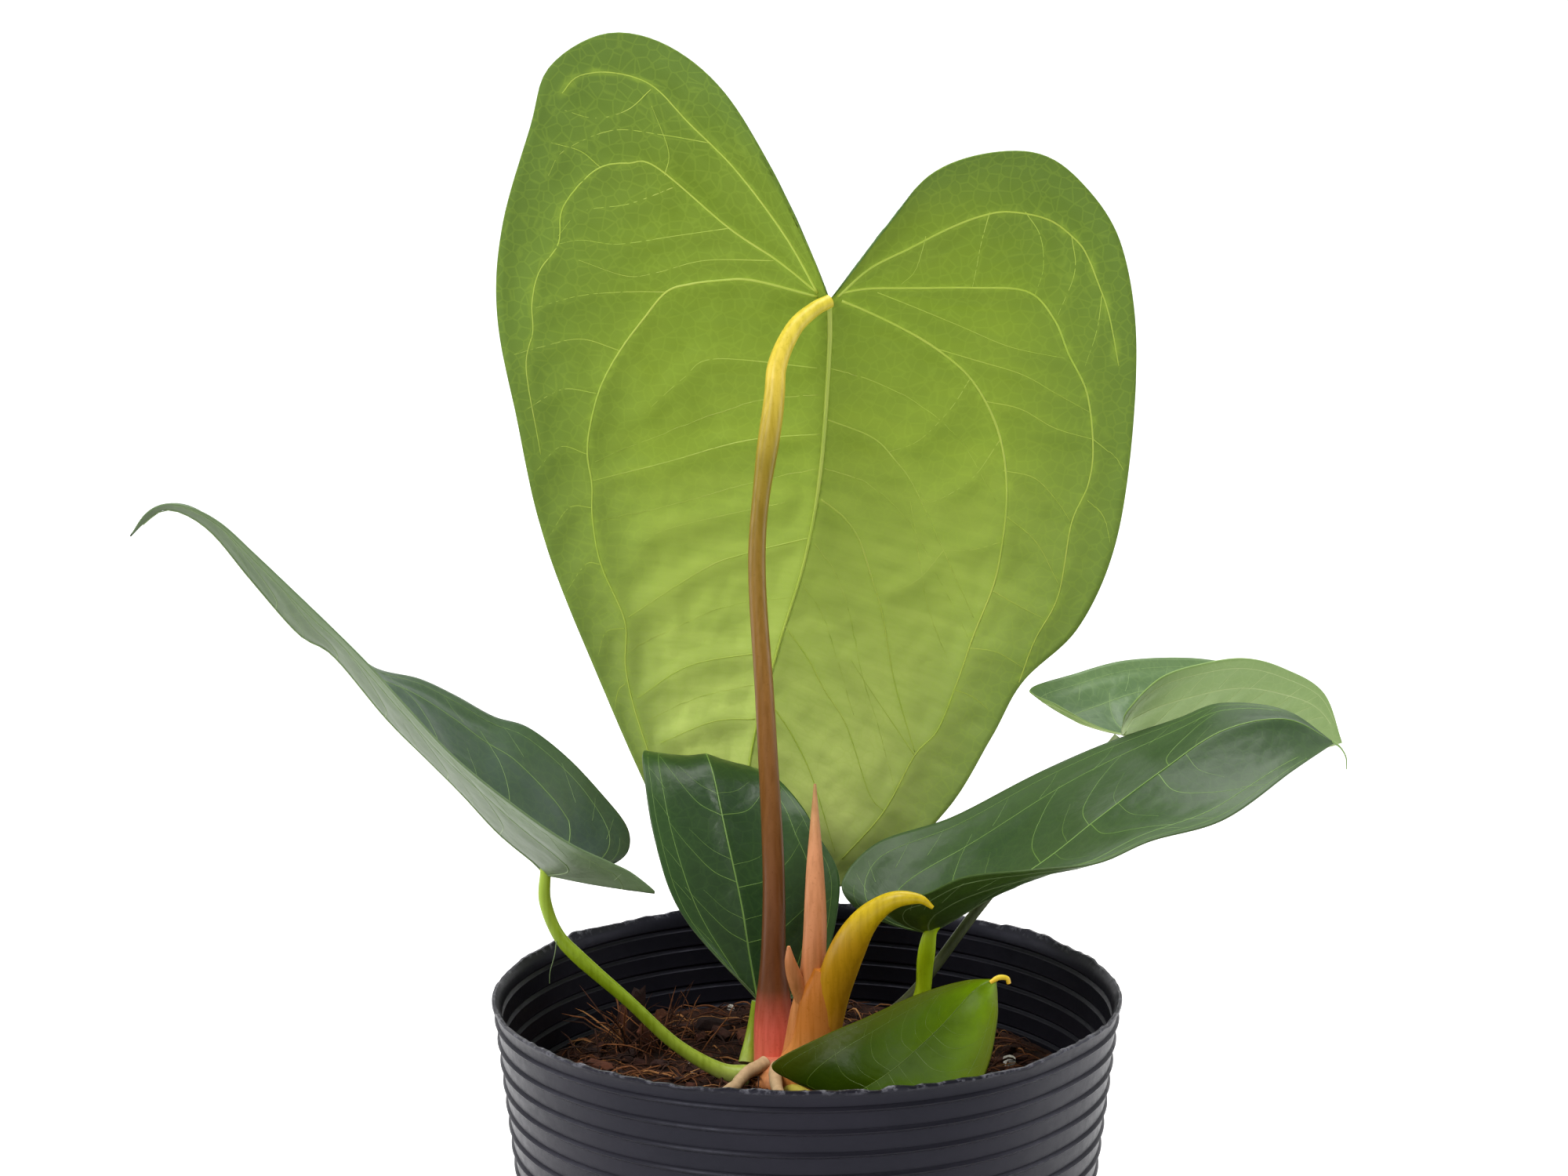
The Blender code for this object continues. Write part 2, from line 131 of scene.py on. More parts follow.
# --- Pot --------------------------------------------------------------------------------------
# Thin blown nursery pot of black plastic: a tapered wall with moulded rings below its rim, a rim
# that was trimmed roughly and has gone a little out of round, and a flat base with drain holes.
POT_RIM_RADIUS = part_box("pot")[1][0]
POT_WALL = 1.2 * MM
POT_TAPER = 0.11
POT_SIDES = 240
LIP_DEPTH = 2 * MM
RING_PITCH = 5.3 * MM
RING_COUNT = 8
RING_DEPTH = 0.7 * MM
RING_SECTION = ((-0.75, 0.0), (-0.4, 0.7), (0.0, 1.0), (0.4, 0.7), (0.75, 0.0), (2.6, 0.08))
HOLE_COUNT = 8
HOLE_RADIUS = 4 * MM
HOLE_CIRCLE = 44 * MM
DENT_ANGLE = -0.62
DENT_WIDTH = 0.22


class Finish:
    """A material while it is put together: its nodes, its shader and the place on the piece."""

    def __init__(self, name, roughness, specular=0.5):
        self.material = bpy.data.materials.new(name)
        self.material.use_nodes = True
        self.shader = self.material.node_tree.nodes["Principled BSDF"]
        self.set("Roughness", roughness)
        self.set("Specular IOR Level", specular)
        self.place = self.node("TexCoord").outputs["Object"]
        self.axes = self.node("SeparateXYZ", Vector=self.place).outputs

    def plug(self, socket, value):
        """Link another node's output to a socket, or give it a plain value."""
        if isinstance(value, bpy.types.NodeSocket):
            self.material.node_tree.links.new(value, socket)
        elif socket.type == "RGBA":
            socket.default_value = (*value, 1)
        else:
            socket.default_value = value

    def set(self, name, value):
        self.plug(self.shader.inputs[name], value)

    def node(self, kind, **settings):
        """A shader node with its options, or its inputs where a setting has an input's name."""
        made = self.material.node_tree.nodes.new("ShaderNode" + kind)
        for name, value in settings.items():
            if hasattr(made, name):
                setattr(made, name, value)
            else:
                self.plug(made.inputs[name.replace("_", " ").title()], value)
        return made

    def ramp(self, factor, stops):
        """Colours blended along a factor, from (position, (red, green, blue)) stops."""
        made = self.node("ValToRGB", Fac=factor)
        elements = made.color_ramp.elements
        while len(elements) < len(stops):
            elements.new(0.5)
        for element, (position, colour) in zip(elements, stops):
            element.position = position
            element.color = (*colour, 1)
        return made.outputs["Color"]

    def ramp_along(self, axis, stops):
        """Colours blended along X or Z, from (place in mm, colour) stops."""
        first, last = stops[0][0], stops[-1][0]
        marks = [((level - first) / (last - first), colour) for level, colour in stops]
        return self.ramp(self.scaled(self.axes[axis], first * MM, last * MM), marks)

    def blend(self, factor, first, second):
        """Two colours mixed by a factor; each is another node's output or a plain value."""
        made = self.node("Mix", data_type="RGBA")
        sockets = {socket.identifier: socket for socket in made.inputs}
        for name, value in (("Factor_Float", factor), ("A_Color", first), ("B_Color", second)):
            self.plug(sockets[name], value)
        return next(one for one in made.outputs if one.identifier == "Result_Color")

    def scaled(self, value, low, high, start=0.0, end=1.0):
        """A number moved from the range low to high onto start to end, and held inside it."""
        made = self.node("MapRange", Value=value, From_Min=low, From_Max=high, To_Min=start, To_Max=end)
        return made.outputs["Result"]

    def grain(self, scale, detail, roughness=0.5, place=None):
        """Cloudy noise on the piece, or along a stretched place."""
        place = self.place if place is None else place
        made = self.node("TexNoise", Scale=scale, Detail=detail, Roughness=roughness, Vector=place)
        return made.outputs["Fac"]

    def stretched(self, place, scale):
        """The place squeezed or drawn out along each axis, for streaks."""
        return self.node("Mapping", Scale=scale, Vector=place).outputs["Vector"]

    def darker(self, colour, saturation, value):
        """The same colour with its saturation and brightness scaled."""
        return self.node("HueSaturation", Saturation=saturation, Value=value, Color=colour).outputs["Color"]

    def bump(self, height, strength, distance):
        """Fine relief on the shader, on top of any that it has."""
        made = self.node("Bump", Strength=strength, Distance=distance, Height=height)
        if self.shader.inputs["Normal"].links:
            self.plug(made.inputs["Normal"], self.shader.inputs["Normal"].links[0].from_socket)
        self.set("Normal", made.outputs["Normal"])


def wall_radius(height):
    """Radius of the plain tapered wall outside."""
    return POT_RIM_RADIUS - 0.8 * MM - POT_TAPER * (POT_HEIGHT - height)


def pot_outline():
    """Radius and height up the outside of the wall: plain foot, rings, then the lip."""
    outline = [(wall_radius(0) - 2.0 * MM, 0), (wall_radius(0) - 0.7 * MM, 0.3 * MM),
               (wall_radius(0), 1.5 * MM)]
    plain_top = POT_HEIGHT - (RING_COUNT + 0.5) * RING_PITCH
    for step in range(1, 9):
        height = plain_top * step / 8
        outline.append((wall_radius(height), height))
    for ring in range(RING_COUNT, 0, -1):
        crest = POT_HEIGHT - ring * RING_PITCH
        for offset, rise in RING_SECTION:
            height = crest + offset * MM
            outline.append((wall_radius(height) + rise * RING_DEPTH, height))
    for inset, drop in ((0.5, 1.6), (0.1, 0.8), (0.25, 0)):
        outline.append((POT_RIM_RADIUS - inset * MM, POT_HEIGHT - drop * MM))
    return outline


def turned_shell(name, sides, start, rings):
    """A closed body raised from a filled circle through rings of (radius, height)."""
    pick()
    radius, height = start
    bpy.ops.mesh.primitive_circle_add(vertices=sides, radius=radius, fill_type="NGON",
                                      location=(0, 0, height))
    bpy.ops.object.transform_apply(location=True, rotation=False, scale=False)
    shell = bpy.context.object
    shell.name = name
    bpy.ops.object.mode_set(mode="EDIT")
    bpy.ops.mesh.select_mode(type="EDGE")
    bpy.ops.mesh.select_all(action="SELECT")
    for next_radius, next_height in rings:
        bpy.ops.mesh.extrude_edges_move(TRANSFORM_OT_translate={"value": (0, 0, next_height - height)})
        factor = next_radius / radius
        bpy.ops.transform.resize(value=(factor, factor, 1), center_override=(0, 0, next_height))
        radius, height = next_radius, next_height
    bpy.ops.mesh.edge_face_add()
    face_outwards()
    return shell


def face_outwards():
    """Turn every face of the mesh in edit mode outwards, and leave edit mode."""
    bpy.ops.mesh.select_all(action="SELECT")
    bpy.ops.mesh.normals_make_consistent(inside=False)
    bpy.ops.object.mode_set(mode="OBJECT")


outline = pot_outline()
inside = [(radius - POT_WALL, height) for radius, height in outline if height > POT_WALL]
inside[-1] = (outline[-1][0] - 0.7 * MM, POT_HEIGHT)
rings = outline[1:] + inside[::-1] + [(inside[0][0], POT_WALL)]
pot = turned_shell("pot_shell", POT_SIDES, outline[0], rings)
cutters = []
for hole in range(HOLE_COUNT):
    turn = math.tau * hole / HOLE_COUNT
    spot = (HOLE_CIRCLE * math.cos(turn), HOLE_CIRCLE * math.sin(turn), 0)
    bpy.ops.mesh.primitive_cylinder_add(vertices=24, radius=HOLE_RADIUS, depth=6 * POT_WALL, location=spot)
    cutters.append(bpy.context.object)
pick(*cutters[::-1])
bpy.ops.object.join()
cut = pot.modifiers.new("drain_holes", "BOOLEAN")
cut.object = cutters[0]
cut.solver = "EXACT"
pick(pot)
bpy.ops.object.modifier_apply(modifier=cut.name)
bpy.data.objects.remove(cutters[0])
for vertex in pot.data.vertices:
    angle = math.atan2(vertex.co.y, vertex.co.x)
    lift = vertex.co.z / POT_HEIGHT
    out_of_round = 0.7 * math.cos(2 * angle - 0.5) + 0.45 * math.cos(3 * angle + 1.1) - 0.5
    dent = -1.1 * math.exp(-((angle - DENT_ANGLE) / DENT_WIDTH) ** 2)
    push = 1 + (out_of_round + dent) * MM * lift ** 3 / POT_RIM_RADIUS
    vertex.co.x *= push
    vertex.co.y *= push
    trim = (vertex.co.z - POT_HEIGHT + LIP_DEPTH) / LIP_DEPTH
    if trim > 0:
        spot = Vector((math.cos(angle), math.sin(angle), 0))
        waves = 0.8 * noise.noise(spot * 4) + 0.5 * noise.noise(spot * 17) + 0.45 * noise.noise(spot * 60)
        vertex.co.z += (waves - 0.7) * MM * trim
bpy.ops.object.shade_smooth_by_angle(angle=math.radians(50))
plastic = Finish("black_pot_plastic", 0.4, 0.17)
scuffs = plastic.grain(420, 8, 0.7)
worn = plastic.scaled(plastic.axes["Z"], POT_HEIGHT - LIP_DEPTH, POT_HEIGHT - 0.4 * MM)
wear = plastic.node("Math", operation="MULTIPLY", Value=worn)
plastic.plug(wear.inputs[1], plastic.scaled(scuffs, 0.5, 0.62))
cloud = plastic.ramp(plastic.grain(28, 6), [(0.35, (0.006, 0.006, 0.009)), (0.7, (0.011, 0.010, 0.015))])
plastic.set("Base Color", plastic.blend(wear.outputs[0], cloud, (0.13, 0.13, 0.15)))
plastic.set("Roughness", plastic.scaled(scuffs, 0.3, 0.7, 0.3, 0.46))
plastic.bump(scuffs, 0.25, 0.0002)
plastic.set("Specular Tint", (0.8, 0.8, 1.0))
pot.data.materials.append(plastic.material)
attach(pot, "root")
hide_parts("pot")

# --- Leaves -----------------------------------------------------------------------------------
# Each leaf is one leathery heart-shaped blade, 0.4 mm thick, on a round stalk. Veins stand proud
# of the underside and run through the upper side as pale lines; the blade puckers between them.
BLADE_THICKNESS = 0.4 * MM
CORD_SECTION = ((-1, -0.5), (-0.6, 0.65), (0, 1), (0.6, 0.65), (1, -0.5))
MIDRIB = ((0, 0), (0.3, 0), (0.6, 0), (0.97, 0))


def smooth_line(knots, count):
    """Evenly spaced points along a smooth curve through the knots, in any number of dimensions."""
    knots = np.array(knots, float)
    ends = np.vstack([2 * knots[0] - knots[1], knots, 2 * knots[-1] - knots[-2]])
    t = np.linspace(0, 1, 24, endpoint=False)[:, None]
    parts = []
    for before, first, last, after in zip(ends, ends[1:], ends[2:], ends[3:]):
        square = 2 * before - 5 * first + 4 * last - after
        cube = 3 * first - before - 3 * last + after
        parts.append(0.5 * (2 * first + (last - before) * t + square * t ** 2 + cube * t ** 3))
    line = np.vstack([*parts, knots[-1:]])
    marks = np.r_[0, np.cumsum(np.linalg.norm(np.diff(line, axis=0), axis=1))]
    wanted = np.linspace(0, marks[-1], count)
    return np.column_stack([np.interp(wanted, marks, line[:, axis]) for axis in range(line.shape[1])])


def unit(vectors):
    return vectors / np.maximum(np.linalg.norm(vectors, axis=-1, keepdims=True), 1e-12)


class Blade:
    """A leaf blade as two grids of points, one on each side of the midrib.

    Row -1 is the edge of the notch, row 0 the end of the fan round the lobe and row 1 the tip;
    t runs from the midrib, 0, to the edge, 1. Knots are in mm. lobe_shares is how much of each edge
    goes round the lobe, swell the cupping as a share of the width, waves a height and a seed.
    """
    FAN = 60
    BODY = 110
    COLUMNS = 44

    def __init__(self, midrib, edges, lobe_shares, swell, waves):
        rib = smooth_line(np.array(midrib) * MM, self.BODY + 1)
        row = np.arange(self.FAN + self.BODY + 1)
        self.row = np.where(row <= self.FAN, row / self.FAN - 1, (row - self.FAN) / self.BODY)
        self.t = np.linspace(0, 1, self.COLUMNS + 1)
        inner = rib[np.maximum(row - self.FAN, 0)][:, None]
        sides = []
        eased = np.clip((self.row + 1) * 2.5, 0, 1)[:, None, None]
        for edge, lobe in zip(edges, lobe_shares):
            line = smooth_line(np.array([midrib[0], *edge, midrib[-1]]) * MM, 1201)
            share = np.where(self.row <= 0, lobe * (self.row + 1), lobe + (1 - lobe) * self.row)
            outer = line[np.round(share * 1200).astype(int)][:, None]
            t = self.t[None, :, None]
            reach = np.linalg.norm(outer - inner, axis=-1, keepdims=True)
            sides.append(inner + (outer - inner) * t + np.array(swell) * 4 * t * (1 - t) * reach * eased)
        self.points = np.array(sides)
        self.measure()
        self.ripple(*waves)

    def weld(self, grid):
        """Give the places that both sides or whole rows share one value."""
        grid[1, :, 0] = grid[0, :, 0]
        grid[:, :self.FAN + 1, 0] = grid[0, self.FAN, 0]
        grid[:, 0] = grid[0, self.FAN, 0]
        grid[:, -1] = grid[0, -1, 0]

    def measure(self):
        """Upper-side normals of both grids, one shared value along the midrib."""
        normals = np.cross(np.gradient(self.points, axis=1), np.gradient(self.points, axis=2))
        normals[1] *= -1
        flat = np.linalg.norm(normals, axis=-1, keepdims=True) < 1e-12
        normals = unit(np.where(flat, normals.mean(axis=(0, 1, 2)), normals))
        middle = unit(normals[0, :, 1] + normals[1, :, 1])
        normals[:, :, 0] = middle
        normals[:, :self.FAN + 1, 0] = unit(middle[self.FAN])
        self.normals = normals

    def shift(self, amount):
        """Move every point along its normal by its own amount in mm, and measure again."""
        self.points = self.points + self.normals * amount[..., None] * MM
        self.weld(self.points)
        self.measure()

    def ripple(self, height, seed):
        """Gentle waves that grow with the distance from the midrib, in mm."""
        waves = np.zeros(self.points.shape[:3])
        reach = np.linalg.norm(self.points - self.points[:, :, :1], axis=-1) / MM
        for place in np.ndindex(waves.shape):
            waves[place] = noise.noise(Vector(self.points[place]) / (26 * MM) + Vector((seed, 0, 0)))
        self.shift(waves * height * np.clip(reach / 45, 0, 1) ** 2)

    def edge_length(self, side):
        """Length of one side's edge from notch to tip, in mm."""
        return np.linalg.norm(np.diff(self.points[side, :, -1], axis=0), axis=-1).sum() / MM

    def at(self, side, row, t):
        """Points and normals at places on one side, between the grid's own."""
        line = np.interp(row, self.row, np.arange(len(self.row)))
        low = np.clip(line.astype(int), 0, len(self.row) - 2)
        column = np.clip(t, 0, 1) * self.COLUMNS
        left = np.clip(column.astype(int), 0, self.COLUMNS - 1)
        a, b = (line - low)[:, None], (column - left)[:, None]
        results = []
        for grid in (self.points[side], self.normals[side]):
            results.append((grid[low, left] * (1 - b) + grid[low, left + 1] * b) * (1 - a)
                           + (grid[low + 1, left] * (1 - b) + grid[low + 1, left + 1] * b) * a)
        return results[0], unit(results[1])

    def faces(self):
        """One sheet of faces, upper side out, and the grid place of each corner."""
        rows, columns = len(self.row), self.COLUMNS + 1
        number = np.arange(2 * rows * columns).reshape(2, rows, columns)
        self.weld(number)
        faces, places = [], []
        for side, row, column in np.ndindex(2, rows - 1, columns - 1):
            corners = [(row, column), (row + 1, column), (row + 1, column + 1), (row, column + 1)]
            if side:
                corners.reverse()
            seen = {}
            for corner in corners:
                seen.setdefault(int(number[side][corner]), corner)
            if len(seen) > 2:
                faces.append(tuple(seen))
                places.extend((side, *corner) for corner in seen.values())
        return faces, places

    def sheet(self):
        """The blade's surface, to throw rays at and to find nearest points on."""
        return BVHTree.FromPolygons(self.points.reshape(-1, 3).tolist(), self.faces()[0])


def along(blade, side, route):
    """Points and normals on the blade along a route of (row, t) places."""
    path = smooth_line(route, 14 * len(route))
    return blade.at(side, path[:, 0], path[:, 1])


def plain_veins(blade, laterals, seed):
    """Veins of a small leaf: midrib, fans into both lobes, laterals, and the vein that joins them."""
    draw = random.Random(seed)
    veins = []

    def add(side, weight, *route):
        veins.append((*along(blade, side, route), weight))

    add(0, 1.3, *MIDRIB)
    for side in range(2):
        add(side, 0.6, (-0.1, 0), (-0.12, 0.3), (-0.02, 0.52), (0.15, 0.66), (0.4, 0.74), (0.65, 0.78),
            (0.88, 0.8))
        add(side, 0.3, (-0.45, 0), (-0.46, 0.4), (-0.36, 0.68), (-0.18, 0.83), (0.1, 0.9), (0.4, 0.92),
            (0.9, 0.93))
        for row in (-0.75, -0.6):
            add(side, 0.2, (row, 0), (row - 0.02, 0.5), (row + 0.1, 0.78), (row + 0.3, 0.88))
        for place in laterals:
            row = place + draw.uniform(-0.02, 0.02)
            sweep = 0.1 + 0.06 * row
            add(side, 0.3, (row, 0), (row + 0.01, 0.3), (row + sweep * 0.5, 0.55), (row + sweep, 0.76))
            row += 0.07
            add(side, 0.06, (row, 0), (row + 0.01, 0.25), (row + 0.05, 0.5))
        for row in np.arange(-0.25, 0.8, 0.12):
            row += draw.uniform(-0.03, 0.03)
            add(side, 0.06, (row, 0.74), (row + 0.03, 0.83), (row + 0.055, 0.92))
    return veins


def tube_faces(first, stations, corners):
    """Faces of a closed tube whose rings of vertices follow each other from the first one."""
    faces = []
    for station in range(stations - 1):
        for corner in range(corners):
            a = first + station * corners + corner
            b = first + station * corners + (corner + 1) % corners
            faces.append((a, b, b + corners, a + corners))
    last = first + (stations - 1) * corners
    return faces + [tuple(range(first + corners - 1, first - 1, -1)), tuple(range(last, last + corners))]


def lay_cord(points, up, wide, rise, vertices, faces):
    """Add a half-round cord along a vein, sunk into the face of the blade that up points out of."""
    across = unit(np.cross(unit(np.gradient(points, axis=0)), up))
    widths = wide * np.linspace(1, 0.4, len(points)) / 2
    faces += tube_faces(len(vertices), len(points), len(CORD_SECTION))
    for point, outwards, sideways, width in zip(points, up, across, widths):
        for offset, height in CORD_SECTION:
            lift = BLADE_THICKNESS / 2 + height * rise * (0.35 + width / wide)
            vertices.append(tuple(point + outwards * lift + sideways * width * offset))


def new_piece(name, vertices, faces, finishes):
    """An object made of vertices and faces, selected alone."""
    mesh = bpy.data.meshes.new(name)
    mesh.from_pydata(vertices, [], faces)
    for finish in finishes:
        mesh.materials.append(finish)
    piece = bpy.data.objects.new(name, mesh)
    bpy.context.collection.objects.link(piece)
    pick(piece)
    return piece


def add_values(mesh, name, values):
    """One number for each vertex, which a finish can read by name."""
    layer = mesh.attributes.new(name, "FLOAT", "POINT")
    layer.data.foreach_set("value", np.ascontiguousarray(np.ravel(values), dtype=np.float32))


def make_leaf(node, blade, veins, finishes, pucker, hollow, vein_size, seed):
    """Pucker the blade between its veins, thicken it, and lay the veins on both faces.

    veins is a list of (points, normals, weight); finishes are upper side, underside, veins above
    and below.
    """
    strong = [(Vector(point), vein[2]) for vein in veins if vein[2] > 0.11 for point in vein[0]]
    margin = [Vector(point) for point in blade.points[:, :, -1].reshape(-1, 3)]
    near_vein, near_margin = KDTree(len(strong)), KDTree(len(margin))
    for index, (point, _) in enumerate(strong):
        near_vein.insert(point, index)
    for index, point in enumerate(margin):
        near_margin.insert(point, index)
    near_vein.balance()
    near_margin.balance()
    shape = blade.points.shape[:3]
    distance, strength, crinkle, fade = (np.zeros(shape) for _ in range(4))
    for place in np.ndindex(shape):
        point = Vector(blade.points[place])
        _, index, gap = near_vein.find(point)
        distance[place] = gap / MM
        strength[place] = strong[index][1]
        fade[place] = min(1, near_margin.find(point)[2] / (5 * MM))
        spot = point / MM + Vector((seed, 0, 0))
        crinkle[place] = noise.noise(spot / 6) + 0.6 * noise.noise(spot / 2.6)
    lengths = [blade.edge_length(side) for side in range(2)]
    between = 1 - np.exp(-(distance / hollow) ** 2)
    blade.shift(pucker * between * (1 + 0.6 * crinkle) * fade)
    faces, places = blade.faces()
    leaf = new_piece(node + "_skin", blade.points.reshape(-1, 3).tolist(), faces, finishes)
    add_values(leaf.data, "vein_near", np.exp(-(distance / (0.9 * vein_size)) ** 2) * np.clip(strength, 0, 1))
    add_values(leaf.data, "edge_near", np.broadcast_to(blade.t, shape))
    layer = leaf.data.uv_layers.new(name="along_rows")
    spots = [((blade.row[line] + 1) / 2 * lengths[side] / 100, blade.t[column] + 2 * side)
             for side, line, column in places]
    layer.data.foreach_set("uv", np.array(spots, dtype=np.float32).reshape(-1))
    leaf.data.shade_smooth()
    bpy.ops.object.mode_set(mode="EDIT")
    bpy.ops.mesh.select_all(action="SELECT")
    bpy.ops.mesh.delete_loose()
    bpy.ops.object.mode_set(mode="OBJECT")
    skin = leaf.modifiers.new("thickness", "SOLIDIFY")
    skin.thickness = BLADE_THICKNESS
    skin.offset = 0
    skin.material_offset = 1
    skin.material_offset_rim = 1
    bpy.ops.object.modifier_apply(modifier=skin.name)
    sheet = blade.sheet()
    vertices, faces, indices = [], [], []
    for face, breadth, height, index in ((1, 0.6, 0.2, 2), (-1, 1.0, 0.34, 3)):
        for points, normals, weight in veins:
            snapped = np.array([sheet.find_nearest(Vector(point))[0] for point in points])
            lay_cord(snapped, normals * face, (0.3 + 1.1 * weight) * vein_size * breadth * MM,
                     height * (0.25 + weight) * vein_size * MM, vertices, faces)
        indices += [index] * (len(faces) - len(indices))
    cord = new_piece(node + "_veins", vertices, faces, finishes)
    cord.data.polygons.foreach_set("material_index", indices)
    cord.data.shade_smooth()
    bpy.ops.object.mode_set(mode="EDIT")
    face_outwards()
    pick(cord, leaf)
    bpy.ops.object.join()
    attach(leaf, "root")
    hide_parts(node)


def leaf_finish(name, low, high, near_vein, edge, roughness, specular=0.3, net=0.14, glow=0.45, tint_and_painted_shade=None):
    """Leaf tissue: mottled between two greens, paler by the veins, with a tint and painted shade at the edge,
    finely netted.

    The last argument is an axis and the colours that replace most of the two greens along it, by place in mm:
    some tint of the leaf's own, and painted shade that darkens it along the axis.
    """
    tissue = Finish(name, roughness, specular)
    mottle = tissue.grain(38, 5, 0.6)
    colour = tissue.ramp(mottle, [(0.3, low), (0.7, high)])
    # Colours by place along one axis: some of the leaf's own tint, and painted shade that darkens one end of
    # the leaf.
    if tint_and_painted_shade:
        colour = tissue.blend(0.75, colour, tissue.ramp_along(*tint_and_painted_shade))
    rows = tissue.node("UVMap", uv_map="along_rows").outputs["UV"]
    streaks = tissue.grain(1.0, 4, 0.55, tissue.stretched(rows, (26, 2.2, 1)))
    colour = tissue.blend(tissue.scaled(streaks, 0.35, 0.7, 0.0, 0.3), colour, tuple(0.8 * c for c in low))
    # Towards the margin the colour goes over to the edge colour: a real tint on some leaves, and painted
    # shade of the curled edges on the big leaf's underside.
    edge_tint_and_shade = tissue.node("Attribute", attribute_name="edge_near").outputs["Fac"]
    colour = tissue.blend(tissue.scaled(edge_tint_and_shade, 0.55, 1.0, 0.0, 0.8), colour, edge)
    by_vein = tissue.node("Attribute", attribute_name="vein_near").outputs["Fac"]
    colour = tissue.blend(tissue.scaled(by_vein, 0, 1, 0, glow), colour, near_vein)
    cells = tissue.node("TexVoronoi", feature="DISTANCE_TO_EDGE", Scale=330, Vector=tissue.place)
    small = cells.outputs["Distance"]
    tissue.set("Base Color", tissue.blend(tissue.scaled(small, 0.0, 0.09, net, 0.0), colour, near_vein))
    tissue.set("Roughness", tissue.scaled(mottle, 0.3, 0.7, roughness - 0.06, roughness + 0.06))
    tissue.bump(small, 0.15, 0.0003)
    tissue.bump(streaks, 0.2, 0.0006)
    tissue.bump(tissue.grain(240, 3), 0.25, 0.0007)
    return tissue.material


def vein_finish(name, colour, tip_colour, roughness):
    """Vein tissue: smooth and slightly glossy, with a faint change of colour along it."""
    tissue = Finish(name, roughness)
    tissue.set("Base Color", tissue.ramp(tissue.grain(60, 3), [(0.3, colour), (0.7, tip_colour)]))
    tissue.bump(tissue.grain(900, 3), 0.08, 0.0001)
    return tissue.material


def stalk_finish(name, stops, roughness=0.36):
    """Stalk skin: its colour changes with height, in mm, with fine lengthwise streaks and freckles."""
    skin = Finish(name, roughness, 0.28)
    colour = skin.ramp_along("Z", stops)
    dark = skin.darker(colour, 1.05, 0.72)
    streaks = skin.grain(900, 4, place=skin.stretched(skin.place, (1, 1, 0.06)))
    colour = skin.blend(skin.scaled(streaks, 0.42, 0.68, 0, 0.7), colour, dark)
    skin.set("Base Color", skin.blend(skin.scaled(skin.grain(1300, 2), 0.6, 0.72, 0, 0.5), colour, dark))
    skin.bump(streaks, 0.25, 0.0003)
    return skin.material


def stalk(node, knots, radii, finish, rings=90, flatten=None, lumps=0.0, added=False):
    """A round stalk swept along a smooth curve, its radius in mm eased through the list.

    flatten is a direction and the share of the thickness left along it; lumps is a roughness in mm.
    It stands for the CAD node of its name, unless it is an added detail.
    """
    route = smooth_line(np.array(knots) * MM, rings)
    pick()
    bpy.ops.curve.primitive_nurbs_path_add()
    curve = bpy.context.object.data
    bpy.context.object.name = node if added else node + "_skin"
    curve.splines.clear()
    curve.bevel_depth = MM
    curve.bevel_resolution = 6
    curve.use_fill_caps = True
    spline = curve.splines.new("POLY")
    spline.points.add(rings - 1)
    profile = smooth_line([(index / (len(radii) - 1), radius) for index, radius in enumerate(radii)], 400)
    widths = np.interp(np.linspace(0, 1, rings), profile[:, 0], profile[:, 1])
    for point, spot, radius in zip(spline.points, route, widths):
        point.co = (*spot, 1)
        point.radius = radius
    bpy.ops.object.convert(target="MESH")
    stem = bpy.context.object
    for vertex in stem.data.vertices:
        centre = Vector(route[np.argmin(np.linalg.norm(route - np.array(vertex.co), axis=1))])
        offset = vertex.co - centre
        if flatten:
            axis = Vector(flatten[0]).normalized()
            offset -= axis * offset.dot(axis) * (1 - flatten[1])
        if lumps and offset.length > 0:
            bulge = noise.noise(vertex.co / (2.6 * MM)) + 0.5 * noise.noise(vertex.co / (1.1 * MM))
            offset += offset.normalized() * bulge * lumps * MM
        vertex.co = centre + offset
    stem.data.materials.clear()
    stem.data.materials.append(finish)
    bpy.ops.object.shade_smooth_by_angle(angle=math.radians(60))
    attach(stem, "root")
    if not added:
        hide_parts(node)


# --- Big leaf ---------------------------------------------------------------------------------
# The newest full leaf hangs from the top of the tall stalk and shows its pale underside. The
# stalk is red-brown, pink and swollen at its foot, yellow at the joint that turns the blade.
stalk("big_leaf_stalk",
      [(-8, 3, 101), (-8, 3.2, 107), (-8, 5, 128), (-8, 8, 153), (-10, 14, 191), (-12, 22, 229),
       (-8, 29, 263), (-7, 32, 273), (-3, 36.5, 281.5), (2, 40.5, 286), (6, 43, 288)],
      (4.8, 4.7, 3.2, 2.8, 2.65, 2.5, 2.4, 2.3, 2.2, 2.15, 2.15, 2.7, 2.5, 2.2, 1.7),
      stalk_finish("red_brown_stalk_skin",
                   [(99, (0.7, 0.15, 0.09)), (113, (0.62, 0.12, 0.08)), (123, (0.12, 0.036, 0.01)),
                    (150, (0.15, 0.05, 0.01)), (190, (0.21, 0.09, 0.018)), (229, (0.2, 0.115, 0.012)),
                    (250, (0.24, 0.17, 0.012)), (270, (0.58, 0.43, 0.05)), (290, (0.6, 0.5, 0.05))]),
      rings=160)
